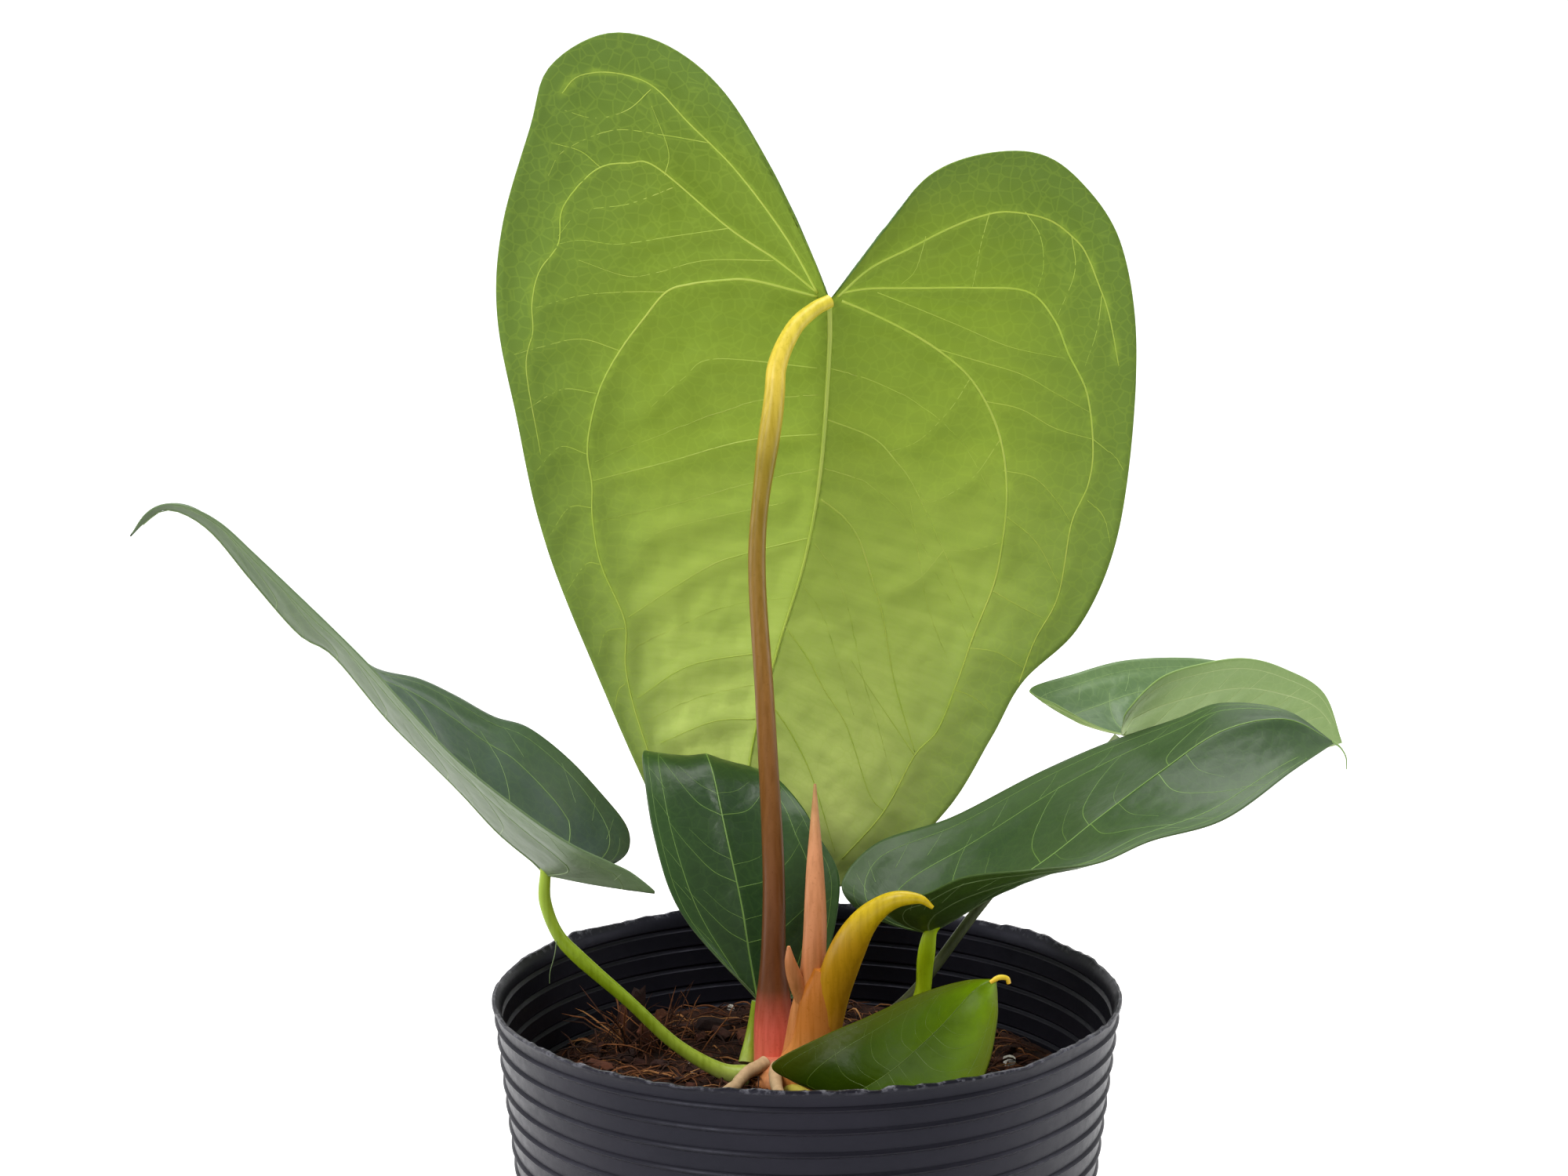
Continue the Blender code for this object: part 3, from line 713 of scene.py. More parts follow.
big_blade = Blade(
    [(6, 44, 288), (6, 47, 275), (4, 52, 245), (0, 56, 221), (-7, 59, 197), (-14, 61, 169), (-19, 62, 128)],
    ([(1, 43, 300.5), (-8, 41, 320), (-20, 38, 339), (-34, 37, 350), (-49, 38, 353), (-63, 40, 345),
      (-68, 43, 331), (-76, 48, 306), (-78, 52, 284), (-74, 56, 258), (-68, 60, 227), (-57, 62, 196),
      (-44, 63, 164), (-33, 63, 142)],
     [(11.5, 43.4, 295), (21.5, 42.3, 308), (31, 42, 319), (44, 43, 324), (58, 45, 324), (69, 48, 317),
      (79, 51, 303), (84, 54, 280), (84, 57, 252), (80, 59, 223), (71, 60, 202), (57, 60, 188),
      (49, 60, 173), (37, 60, 153), (17, 61, 135)]),
    (0.44, 0.38), (0, 0.03, 0), (1.8, 3))
# The underside darkens from pale yellow-green at the bottom to dark green at the top lobes: a little is its
# own tint, most is painted shade.
pale_under = leaf_finish("pale_underside", (0.2, 0.31, 0.035), (0.27, 0.37, 0.06), (0.34, 0.48, 0.05),
                         # Its edge colour darkens the margin: painted shade of the curled edges.
                         (0.1, 0.17, 0.03), 0.55, specular=0.12,
                         tint_and_painted_shade=("Z", [(130, (0.72, 0.8, 0.27)), (170, (0.56, 0.67, 0.18)),
                                      (210, (0.42, 0.53, 0.1)), (250, (0.23, 0.32, 0.028)),
                                      (285, (0.16, 0.24, 0.014)), (320, (0.105, 0.165, 0.01)),
                                      (350, (0.08, 0.13, 0.012))]))
pale_upper = leaf_finish("fresh_upper_side", (0.05, 0.12, 0.02), (0.08, 0.16, 0.03), (0.14, 0.25, 0.05),
                         (0.05, 0.11, 0.02), 0.38)
pale_vein = vein_finish("pale_vein", (0.3, 0.42, 0.03), (0.38, 0.46, 0.06), 0.42)
# Veins as seen from the front: a weight, then the routes in (x, z) that have it, laid on the sheet.
BIG_LEAF_VEINS = (
    (0.85, ([(3, 290), (-5, 304), (-17, 320), (-29, 332), (-38, 341), (-48, 344), (-56, 343),
         (-60, 339)],)),
    (0.7, ([(3, 290), (-7, 298), (-19, 306), (-37, 321), (-44, 322), (-51, 321), (-57, 316), (-61, 310),
         (-62, 302), (-67, 295), (-69, 287), (-69, 280), (-71, 270), (-68, 248)],)),
    (1, ([(3, 289), (-13, 293), (-21, 293), (-29, 292), (-35, 290), (-41, 283), (-47, 275), (-52, 266),
         (-55, 256), (-56, 248), (-55, 240), (-55, 231), (-53, 219), (-47, 204), (-47, 192), (-45, 181),
         (-41, 168)],)),
    (0.5, ([(4, 254), (-15, 252), (-36, 246), (-55, 241)], [(2, 227), (-16, 222), (-26, 218), (-46, 205)],
        [(-11, 196), (-30, 192), (-44, 183)])),
    (0.4, ([(-13, 178), (-24, 177), (-38, 171)],)),
    (0.25, ([(3, 271), (-23, 273), (-31, 268), (-41, 259)],)),
    (0.15, ([(-5, 236), (-34, 229), (-42, 225)],)),
    (0.9, ([(8, 289), (16, 296), (26, 301), (36, 306), (44, 309), (51, 310), (61, 308), (68, 303),
         (71, 299), (74, 292), (77, 284), (80, 271)],)),
    (0.85, ([(9, 290), (16, 291), (30, 291), (42, 291), (56, 290), (63, 283), (67, 274), (72, 264),
         (74, 250), (73, 240), (69, 230), (66, 211), (60, 199), (56, 188)],)),
    (1, ([(9, 288), (16, 285), (26, 280), (34, 275), (42, 268), (48, 258), (51, 248), (52, 236), (51, 223),
         (49, 213), (44, 200), (40, 188), (35, 175), (29, 168), (21, 153), (10, 140)],)),
    (0.3, ([(5, 258), (17, 253), (23, 247), (28, 240), (35, 225), (44, 205)],)),
    (0.55, ([(4, 237), (10, 232), (14, 226), (17, 217), (20, 207), (22, 196), (24, 186), (29, 169)],)),
    (0.35, ([(-5, 203), (1, 194), (5, 186), (11, 176), (17, 158), (21, 153)],
        [(-8, 181), (-3, 173), (2, 162), (8, 142)])),
    (0.15, ([(-38, 340), (-44, 335), (-52, 333), (-60, 335)],
        [(-24, 327), (-36, 329), (-48, 330), (-60, 325), (-64, 319)], [(-35, 319), (-34, 325), (-38, 336)],
        [(-51, 321), (-56, 325), (-63, 327)], [(-33, 316), (-44, 312), (-56, 310), (-62, 304)],
        [(-19, 306), (-33, 304), (-47, 302), (-56, 303), (-62, 302)],
        [(-8, 298), (-25, 298), (-37, 295), (-45, 294), (-57, 298)],
        [(-35, 290), (-45, 290), (-57, 289), (-68, 286)])),
    (0.12, ([(-47, 275), (-57, 278), (-67, 276), (-74, 274)], [(-53, 264), (-62, 265), (-71, 260)],
        [(-56, 248), (-63, 250), (-69, 244)], [(-55, 234), (-61, 234), (-66, 227)],
        [(-53, 219), (-57, 219), (-62, 212)], [(-47, 202), (-52, 201), (-54, 195)],
        [(-47, 187), (-49, 185), (-50, 180)])),
    (0.1, ([(3, 264), (-13, 262), (-27, 257), (-40, 252), (-54, 246)],
        [(3, 245), (-13, 241), (-30, 236), (-46, 232), (-55, 230)],
        [(-3, 211), (-20, 208), (-34, 202), (-47, 195)], [(-8, 188), (-26, 184), (-41, 177)])),
    (0.15, ([(46, 310), (44, 302), (43, 296), (42, 291)], [(55, 310), (59, 304), (60, 296), (58, 289)],
        [(67, 304), (68, 295), (64, 284)])),
    (0.12, ([(75, 289), (74, 280), (71, 270)],)),
    (0.1, ([(30, 304), (28, 296), (24, 292)],)),
    (0.12, ([(18, 290), (28, 286), (40, 281), (52, 276), (66, 273)],)),
    (0.15, ([(32, 276), (42, 273), (55, 269), (64, 264), (73, 259)],
        [(46, 262), (55, 260), (64, 255), (74, 252)], [(51, 244), (59, 242), (65, 236), (69, 230)])),
    (0.12, ([(52, 232), (60, 225), (66, 214)], [(49, 212), (56, 208), (62, 205)],
        [(43, 197), (50, 196), (57, 192)])),
    (0.1, ([(39, 186), (44, 184), (48, 181)], [(74, 252), (79, 248), (82, 244)],
        [(73, 236), (77, 232), (79, 225)], [(6, 271), (18, 267), (31, 260), (41, 250), (49, 236)],
        [(5, 245), (17, 240), (27, 230), (35, 215), (43, 199)],
        [(2, 226), (8, 217), (12, 205), (15, 190), (20, 173), (24, 158)],
        [(-1, 215), (5, 205), (9, 192), (13, 179)], [(27, 236), (30, 219), (33, 205), (39, 190)])),
    (0.12, ([(42, 268), (37, 260), (29, 252), (21, 249)], [(50, 252), (43, 242), (33, 236), (29, 239)],
        [(51, 225), (43, 223), (36, 223)], [(36, 223), (29, 215), (19, 211)],
        [(29, 168), (23, 177), (17, 186), (12, 194)])),
)
big_sheet = big_blade.sheet()
big_veins = [(*along(big_blade, 0, MIDRIB), 1.7)]
for weight, routes in BIG_LEAF_VEINS:
    for route in routes:
        points, normals = [], []
        for x, z in smooth_line(np.array(route) * MM, 9 * len(route)):
            point, normal, _, _ = big_sheet.ray_cast(Vector((x, -1, z)), Vector((0, 1, 0)))
            if point is not None:
                points.append(point)
                normals.append(normal if normal.y > 0 else -normal)
        big_veins.append((np.array(points), np.array(normals), weight))
make_leaf("big_leaf_blade", big_blade, big_veins, (pale_upper, pale_under, pale_vein, pale_vein),
          pucker=1.1, hollow=3.2, vein_size=0.62, seed=3)

# --- Left leaf --------------------------------------------------------------------------------
# Folded along its midrib, it arches out over the pot and ends in a long curled tip. The near half
# shows its grey-green underside, the far half its darker upper side; the green stalk is kinked.
green_stalk = stalk_finish("green_stalk_skin",
                           [(99, (0.34, 0.36, 0.12)), (106, (0.24, 0.32, 0.03)), (125, (0.19, 0.28, 0.006)),
                            (152, (0.24, 0.34, 0.02))])
stalk("left_leaf_stalk",
      [(-14, -2, 102.5), (-21, -2.5, 104), (-32, -3, 111), (-43, -4, 122), (-55, -4, 133), (-60, -4, 139),
       (-62.8, -4, 147), (-62.6, -4.2, 154), (-63, -4.4, 157)],
      (2.6, 1.9, 1.6, 1.55, 1.5, 1.6, 1.75, 1.5, 1.5, 1.2), green_stalk)
left_blade = Blade(
    [(-62.4, -4, 153.3), (-65.1, -4.5, 156.6), (-70, -5, 160.9), (-74.6, -5, 165.2), (-81.8, -6, 173.8),
      (-89.1, -6.5, 181.6), (-99.1, -7.5, 192.4), (-111.1, -8.5, 207.7), (-119, -9, 213),
      (-129.6, -9, 225.6), (-137.9, -9.5, 236.4), (-144.2, -10, 241.3), (-149.6, -10, 242.4),
      (-154.1, -10, 239.4), (-157.5, -10, 236.1)],
    ([(-59.2, -8, 155.2), (-53, -15, 157.6), (-45.1, -23, 157.7), (-38.8, -28, 157), (-34.9, -31, 156.6),
      (-40.1, -33, 161.6), (-45.1, -34, 164.4), (-54.2, -35, 169.1), (-65.5, -35, 177.1),
      (-79.9, -32, 188.1), (-92.4, -27, 200.1), (-100, -23, 207.4), (-109.8, -19, 216.2),
      (-119.5, -16, 224.9), (-128.4, -14, 233), (-135.7, -12.5, 239.4), (-142.4, -12, 243),
      (-148.6, -11.2, 243.8), (-153.4, -11, 241.6)],
     [(-57.1, 8, 151.3), (-51.1, 17, 149.3), (-45.9, 25, 149.9), (-44.4, 30, 152.3), (-45.5, 33, 156.4),
      (-50.3, 34, 162.7), (-59.6, 33, 173.5), (-69.6, 31, 182), (-78, 29, 185.2), (-86.8, 25, 191.2),
      (-95.3, 20, 196.5), (-105.6, 12, 201.2), (-113.8, 4, 212.2), (-125.1, -2, 225.3), (-134.1, -5, 235.4),
      (-142.9, -7.5, 242.4), (-149.2, -8.5, 243.5), (-153.9, -9, 241.3)]),
    (0.3, 0.3), (0, 0, -0.01), (0.4, 11))
dark_upper = leaf_finish("dark_upper_side", (0.045, 0.075, 0.055), (0.07, 0.1, 0.08), (0.1, 0.18, 0.06),
                         (0.045, 0.085, 0.035), 0.34)
grey_under = leaf_finish("grey_underside", (0.065, 0.1, 0.045), (0.1, 0.135, 0.075), (0.13, 0.19, 0.075),
                         (0.08, 0.13, 0.05), 0.5)
upper_vein = vein_finish("upper_vein", (0.14, 0.24, 0.06), (0.2, 0.31, 0.09), 0.36)
under_vein = vein_finish("under_vein", (0.11, 0.17, 0.06), (0.14, 0.2, 0.075), 0.45)
make_leaf("left_leaf_blade", left_blade, plain_veins(left_blade, (0.12, 0.26, 0.4, 0.54, 0.68), 4),
          (dark_upper, grey_under, upper_vein, under_vein), pucker=-0.35, hollow=2.5,
          vein_size=0.62, seed=5)
stalk("left_stalk_thread", [(-60, -5, 138), (-60.5, -6, 134), (-61.6, -6.2, 130), (-61.8, -6, 127)],
      (0.12, 0.1, 0.08), under_vein, rings=14, added=True)

# --- Centre leaf ------------------------------------------------------------------------------
# Small dark leaf just behind the tall stalk; it arches back, so that its tip points away, and its
# margin curls pale at the shoulder.
stalk("centre_leaf_stalk", [(-14.5, 5.5, 103), (-13.5, 8.8, 109), (-12.2, 9.9, 117.5)], (2.2, 1.6, 1.25, 1.2),
      green_stalk, rings=40)
centre_blade = Blade(
    [(-12, 10, 118), (-14, 12, 129), (-16, 15, 141), (-20, 21, 158), (-23, 28, 170), (-25, 35, 174),
     (-25, 42, 171), (-25, 47, 163)],
    ([(-16, 9, 123), (-21, 9, 128), (-29, 11, 137), (-34, 13, 146), (-38, 18, 159), (-40, 24, 169),
      (-41, 32, 175), (-39, 40, 173), (-32, 46, 167)],
     [(-5, 10, 118), (-1, 11, 119), (5, 14, 127), (8, 17, 139), (8, 20, 148), (3, 25, 156), (-1, 30, 162),
      (-8, 37, 168), (-15, 44, 168)]),
    (0.12, 0.16), (0, 0.05, 0), (0.7, 17))
deep_upper = leaf_finish("deep_upper_side", (0.016, 0.042, 0.012), (0.028, 0.062, 0.016), (0.06, 0.13, 0.025),
                         (0.03, 0.075, 0.016), 0.33)
deep_vein = vein_finish("deep_vein", (0.11, 0.21, 0.035), (0.15, 0.26, 0.05), 0.34)
make_leaf("centre_leaf_blade", centre_blade, plain_veins(centre_blade, (0.16, 0.34, 0.56), 6),
          (deep_upper, grey_under, deep_vein, under_vein), pucker=-0.25, hollow=2.6,
          vein_size=0.55, seed=7)

# --- Right leaf -------------------------------------------------------------------------------
# The largest of the older leaves reaches out to the right on a short bright stalk, its dark glossy
# upper side turned up and its near lobe folded up; a dry thread hangs from its tip.
bright_stalk = stalk_finish("bright_stalk_skin",
                            [(99, (0.36, 0.4, 0.05)), (108, (0.38, 0.52, 0.008)), (136, (0.38, 0.54, 0.002))])
stalk("right_leaf_stalk",
      [(2, 1, 103), (12, 1, 107), (23, 2, 114), (28, 2, 121), (29, 2.2, 130), (30, 1.6, 137),
       (31.5, 1.6, 139.5)],
      (3.0, 2.3, 2.1, 2.1, 2.0, 1.95, 2.1, 1.3), bright_stalk)
right_blade = Blade(
    [(30, 3, 137), (40, 0, 144), (57, -2, 156), (70, -3, 167), (85, -1, 178), (100, 3, 187), (116, 7, 189),
     (128, 8, 183)],
    ([(26, 7, 139), (18, 10, 139), (12, 12, 141), (9, 14, 147), (18, 24, 154), (37, 31, 159), (60, 34, 170),
      (80, 33, 179), (93, 28, 185), (103, 22, 190), (117, 13, 190)],
     [(26, 0, 139), (20, -4, 143), (17, -8, 147), (21, -12, 150), (28, -16, 152), (37, -23, 158),
      (52, -31, 162), (66, -33, 164), (79, -28, 168), (97, -20, 171), (116, -4, 179)]),
    (0.25, 0.25), (0, 0, -0.05), (0.9, 23))
right_upper = leaf_finish("right_upper_side", (0.024, 0.052, 0.018), (0.04, 0.072, 0.028),
                          (0.06, 0.13, 0.025), (0.05, 0.09, 0.032), 0.4, specular=0.24)
right_under = leaf_finish("right_underside", (0.022, 0.055, 0.004), (0.035, 0.07, 0.008), (0.05, 0.11, 0.01),
                          (0.03, 0.06, 0.008), 0.45)
make_leaf("right_leaf_blade", right_blade, plain_veins(right_blade, (0.1, 0.26, 0.42, 0.6), 8),
          (right_upper, right_under, deep_vein, under_vein), pucker=-0.3, hollow=2.6,
          vein_size=0.62, seed=9)
stalk("right_tip_thread", [(127.5, 8, 183.4), (129.5, 8, 182), (131, 8, 179.5), (131.2, 8, 176.5)],
      (0.4, 0.22, 0.18, 0.14), upper_vein, rings=20, added=True)

# --- Back leaf --------------------------------------------------------------------------------
# Behind the right leaf, on a long thin stalk: the near half stands up and shows its pale, finely
# lined underside, the far half lies flat and darker.
# The back stalk's colour turns dark grey low down, darkest about 120 mm up where it runs behind the right
# leaf's stalk: that dark grey is painted shade.
stalk("back_leaf_stalk",
      [(-3, 9.5, 102), (4, 12, 105), (24, 18, 114), (43, 28, 135), (62, 36, 157), (80, 41.7, 177.2)],
      (2.2, 1.6, 1.4, 1.3, 1.25, 1.2, 1.3),
      stalk_finish("grey_green_stalk_skin_and_painted_shade", [(99, (0.13, 0.12, 0.04)), (120, (0.07, 0.08, 0.03)),
                                             (178, (0.16, 0.2, 0.09))]))
back_blade = Blade(
    [(81, 42, 178), (91, 45, 175), (107, 52, 173), (122, 58, 171), (135, 62, 170), (142, 64, 171)],
    ([(74, 44, 180), (64, 47, 185), (58, 50, 188), (70, 60, 190), (86, 70, 192), (108, 82, 190),
      (125, 80, 186), (139, 72, 179)],
     [(80, 34, 182), (81, 30, 187), (89, 30, 195), (101, 34, 198), (112, 40, 198), (123, 47, 194),
      (135, 56, 186)]),
    (0.2, 0.2), (0, 0, -0.08), (0.6, 29))
back_upper = leaf_finish("back_upper_side", (0.06, 0.12, 0.045), (0.1, 0.16, 0.07), (0.2, 0.3, 0.1),
                         (0.09, 0.16, 0.05), 0.36)
back_under = leaf_finish("back_underside", (0.19, 0.29, 0.08), (0.25, 0.35, 0.13), (0.3, 0.4, 0.15),
                         (0.17, 0.27, 0.07), 0.5)
back_vein = vein_finish("back_vein", (0.3, 0.4, 0.14), (0.34, 0.43, 0.17), 0.45)
make_leaf("back_leaf_blade", back_blade, plain_veins(back_blade, (0.1, 0.2, 0.3, 0.4, 0.5, 0.6, 0.7), 10),
          (back_upper, back_under, upper_vein, back_vein), pucker=0.3, hollow=2.0,
          vein_size=0.55, seed=11)

# --- Front leaf -------------------------------------------------------------------------------
# The smallest leaf lies low by the near wall: bright, glossy and cupped, with a thin orange margin
# and a yellow drip tip.
young_stalk = stalk_finish("young_stalk_skin", [(99, (0.4, 0.3, 0.06)), (110, (0.3, 0.34, 0.03))])
stalk("front_leaf_stalk", [(-4, -8.5, 101.5), (2, -18, 102.5), (9, -28.5, 106.2)], (2.0, 1.5, 1.3, 1.2),
      young_stalk, rings=40)
front_blade = Blade(
    [(10, -30, 107), (20, -36, 116), (30, -40, 127), (38, -40, 136), (43, -38, 138)],
    ([(4, -27, 107), (-4, -26, 110), (-8, -26, 114), (4, -24, 120), (13, -24, 124), (26, -27, 131),
      (36, -33, 136)],
     [(12, -42, 107), (18, -53, 108), (27, -59, 110), (35, -58.5, 115), (40, -54, 123), (42.5, -47, 131),
      (43, -42, 135)]),
    (0.25, 0.25), (0, 0.03, -0.05), (0.35, 31))
# The leaf's green darkens almost to black towards its crown end: painted shade.
young_painted_shade = ("X", [(-8, (0.01, 0.022, 0.0005)), (12, (0.02, 0.04, 0.0005)), (30, (0.05, 0.095, 0.0005)),
                     (42, (0.11, 0.19, 0.0005))])
young_upper, young_under = (
    leaf_finish(name, low, high, (0.05, 0.09, 0.002), (0.05, 0.06, 0.002), 0.32, 0.07, 0.06, 0.25,
                young_painted_shade)
    for name, low, high in (("young_upper_side", (0.02, 0.042, 0.001), (0.04, 0.075, 0.001)),
                            ("young_underside", (0.02, 0.04, 0.001), (0.036, 0.07, 0.001))))
young_vein = vein_finish("young_vein", (0.05, 0.09, 0.002), (0.07, 0.12, 0.003), 0.3)
make_leaf("front_leaf_blade", front_blade, plain_veins(front_blade, (0.12, 0.28, 0.44, 0.6), 12),
          (young_upper, young_under, young_vein, young_vein), pucker=-0.1, hollow=2.0,
          vein_size=0.3, seed=13)
stalk("front_leaf_drip_tip", [(41.5, -38.8, 137.4), (43.5, -38, 138.4), (45.4, -37.8, 138.2),
                              (45.9, -37.9, 137)],
      (0.5, 0.62, 0.6, 0.5), stalk_finish("drip_tip_skin", [(136, (0.6, 0.28, 0.02)),
                                                            (139, (0.55, 0.42, 0.02))]),
      rings=24, added=True)

# --- New shoot --------------------------------------------------------------------------------
# The next leaf is still rolled up in a slender pink spike on an orange foot; beside it stands the
# hooked yellow sheath that the last leaf came out of, and between them a small pink side bud.
spike_skin = stalk_finish("pink_spike_skin",
                          [(99, (0.45, 0.13, 0.03)), (112, (0.55, 0.2, 0.06)), (122, (0.6, 0.24, 0.08)),
                           (138, (0.52, 0.2, 0.08)), (160, (0.56, 0.24, 0.11)), (176, (0.42, 0.24, 0.1))],
                          0.42)
stalk("new_leaf_spike",
      [(-3.5, -4, 101), (-2, -5, 107.5), (-1, -6, 118), (1, -8, 128), (2, -8, 140), (2, -6, 157),
       (2, -3, 175.5)],
      (5.2, 4.2, 3.4, 3.2, 3.0, 2.9, 2.7, 2.3, 1.7, 1.0, 0.3), spike_skin, rings=120)
hook_skin = stalk_finish("yellow_sheath_skin",
                         [(99, (0.5, 0.17, 0.04)), (112, (0.5, 0.2, 0.03)), (124, (0.42, 0.2, 0.008)),
                          (140, (0.4, 0.22, 0.004)), (148, (0.48, 0.33, 0.004)),
                          (154, (0.45, 0.33, 0.006))], 0.34)
stalk("hooked_sheath",
      [(1.5, -6.5, 101), (3, -8, 107), (4.5, -10, 118), (7, -12.5, 130), (10.5, -15.5, 140), (14.5, -18, 147),
       (20, -20.3, 151.6), (26, -21.8, 152.4), (29.3, -22.2, 150.4)],
      (5.6, 5.0, 4.5, 4.3, 4.4, 4.5, 4.2, 3.4, 2.5, 1.7, 0.5), hook_skin, rings=140,
      flatten=((0.5, 1, 0), 0.7))
stalk("side_bud", [(-1, -8.5, 124), (-2.6, -10.3, 129), (-3.9, -11.5, 134), (-4.3, -12, 138)],
      (1.9, 1.9, 1.8, 1.3, 0.4), spike_skin, rings=50)
foot_skin = stalk_finish("shoot_foot_skin", [(99, (0.5, 0.16, 0.04)), (108, (0.62, 0.25, 0.07)),
                                             (118, (0.5, 0.17, 0.03)), (132, (0.42, 0.14, 0.02))], 0.38)
stalk("shoot_foot", [(-3, -5, 101), (-0.5, -7, 106), (2, -9, 113), (3.6, -10, 123), (4.8, -11, 132)],
      (7.2, 6.4, 5.7, 5.6, 5.2, 3.2), foot_skin, rings=80, flatten=((0.2, 1, 0), 0.72),
      added=True)

# --- Crown and roots --------------------------------------------------------------------------
# The short stem that all stalks leave is knobbly, orange-brown and ringed by the scars of old
# leaves; three blunt pale roots come out of it and dive into the mix.
CROWN_PLACE = -6
CROWN_EDGE = 10.2
MIX_DEPTH = 27 * MM
crown_skin = stalk_finish("crown_skin", [(84, (0.12, 0.05, 0.02)), (99, (0.36, 0.12, 0.04)),
                                         (104, (0.5, 0.2, 0.07)), (107, (0.5, 0.14, 0.08))], 0.5)
stalk("crown", [(-6, 0, 84.5), (-6, 0, 92), (-6, 0, 99), (-6, 0, 105), (-6, 0, 107)],
      (5, 8, 8.6, 8.8, 8.4, 7.2, 4), crown_skin, rings=70, lumps=0.7)
root_skin = stalk_finish("pale_root_skin", [(96, (0.3, 0.22, 0.12)), (101, (0.34, 0.25, 0.14)),
                                            (106, (0.42, 0.28, 0.15))], 0.6)


def mix_top(x, y):
    """Height of the potting mix, mounded a little round the crown."""
    mound = 2.5 * MM * (1 - math.hypot(x - CROWN_PLACE * MM, y) / POT_RIM_RADIUS)
    rough = 0.8 * noise.noise(Vector((x, y, 0)) / (7 * MM))
    rough += 0.5 * noise.noise(Vector((x, y, 10 * MM)) / (2.4 * MM))
    return POT_HEIGHT - MIX_DEPTH + mound + rough * MM


for index, (angle, reach) in enumerate(((218, 16), (262, 14), (322, 13))):
    route = []
    for share, dip in ((-0.35, 1.2), (0.0, 0), (0.35, 0), (0.7, 0), (1.0, 2.8)):
        turn = math.radians(angle + 14 * share)
        distance = CROWN_EDGE + reach * share
        x, y = CROWN_PLACE + math.cos(turn) * distance, math.sin(turn) * distance
        rise = 2.2 + 2.4 * (1 - share) ** 2 - dip
        route.append((x, y, mix_top(x * MM, y * MM) / MM + rise))
    stalk(f"aerial_root_{index + 1}", route, (1.8, 1.6, 1.5, 1.4, 1.3, 1.2), root_skin, rings=50,
          lumps=0.25)

# --- Potting mix ------------------------------------------------------------------------------
# Coarse red-brown coir and bark fill the pot to about 27 mm below its rim. The bed is one body with
# a rough top; loose fibres, bark chips and white perlite lie all over it.
FLOOR_GAP = 1.5 * MM
BED_TOP = 98 * MM
BED_RINGS = 46
FIBRE_COUNT = 1500
TUFT_COUNT = 90
FIBRE_STEPS = 6
FIBRE_LIMIT = 69.5
CHIP_COUNT = 230
GRAIN_COUNT = 34
wall_rings = [(wall_radius(level * MM) - POT_WALL - 1.0 * MM, level * MM) for level in (20, 40, 60, 80, 96)]
top_rings = [(wall_rings[-1][0] * (1 - ring / BED_RINGS), BED_TOP) for ring in range(1, BED_RINGS)]
bed = turned_shell("potting_mix_bed", 120, (wall_radius(FLOOR_GAP) - POT_WALL - 1.2 * MM, FLOOR_GAP),
                   wall_rings + top_rings)
for vertex in bed.data.vertices:
    if vertex.co.z > BED_TOP - MM:
        vertex.co.z = mix_top(vertex.co.x, vertex.co.y)
        vertex.co.z += 0.7 * MM * noise.noise(vertex.co / (1.1 * MM))
bpy.ops.object.shade_smooth_by_angle(angle=math.radians(45))
soil = Finish("coir_and_bark", 0.92, 0.2)
lumps = soil.grain(260, 8, 0.7)
soil.set("Base Color", soil.ramp(lumps, [(0.3, (0.006, 0.003, 0.002)), (0.5, (0.026, 0.009, 0.005)),
                                         (0.68, (0.075, 0.026, 0.012))]))
soil.bump(lumps, 0.9, 0.002)
bed.data.materials.append(soil.material)
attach(bed, "root")
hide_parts("potting_mix")


def scatter_piece(name, bits, finish):
    """One piece of many small loose bits, given as vertices, faces and a tint for each vertex."""
    vertices, faces, tints = bits
    piece = new_piece(name, vertices, faces, [finish])
    add_values(piece.data, "tint", tints)
    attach(piece, "root")
    return piece


def tinted_finish(name, stops, roughness, scale, relief):
    """Rough tissue whose colour is picked by each bit's tint and broken up by grain."""
    tissue = Finish(name, roughness, 0.25)
    base = tissue.ramp(tissue.node("Attribute", attribute_name="tint").outputs["Fac"], stops)
    pattern = tissue.grain(scale, 6, 0.65)
    dark = tissue.darker(base, 1.0, 0.5)
    tissue.set("Base Color", tissue.blend(tissue.scaled(pattern, 0.4, 0.62, 0, 0.8), base, dark))
    tissue.bump(pattern, 0.6, relief)
    return tissue.material


def free_spot(draw, inner=11, outer=67):
    """A random place on the mix clear of the crown, in mm."""
    while True:
        x, y = draw.uniform(-outer, outer), draw.uniform(-outer, outer)
        if math.hypot(x, y) < outer and math.hypot(x + 5, y) > inner:
            return x, y


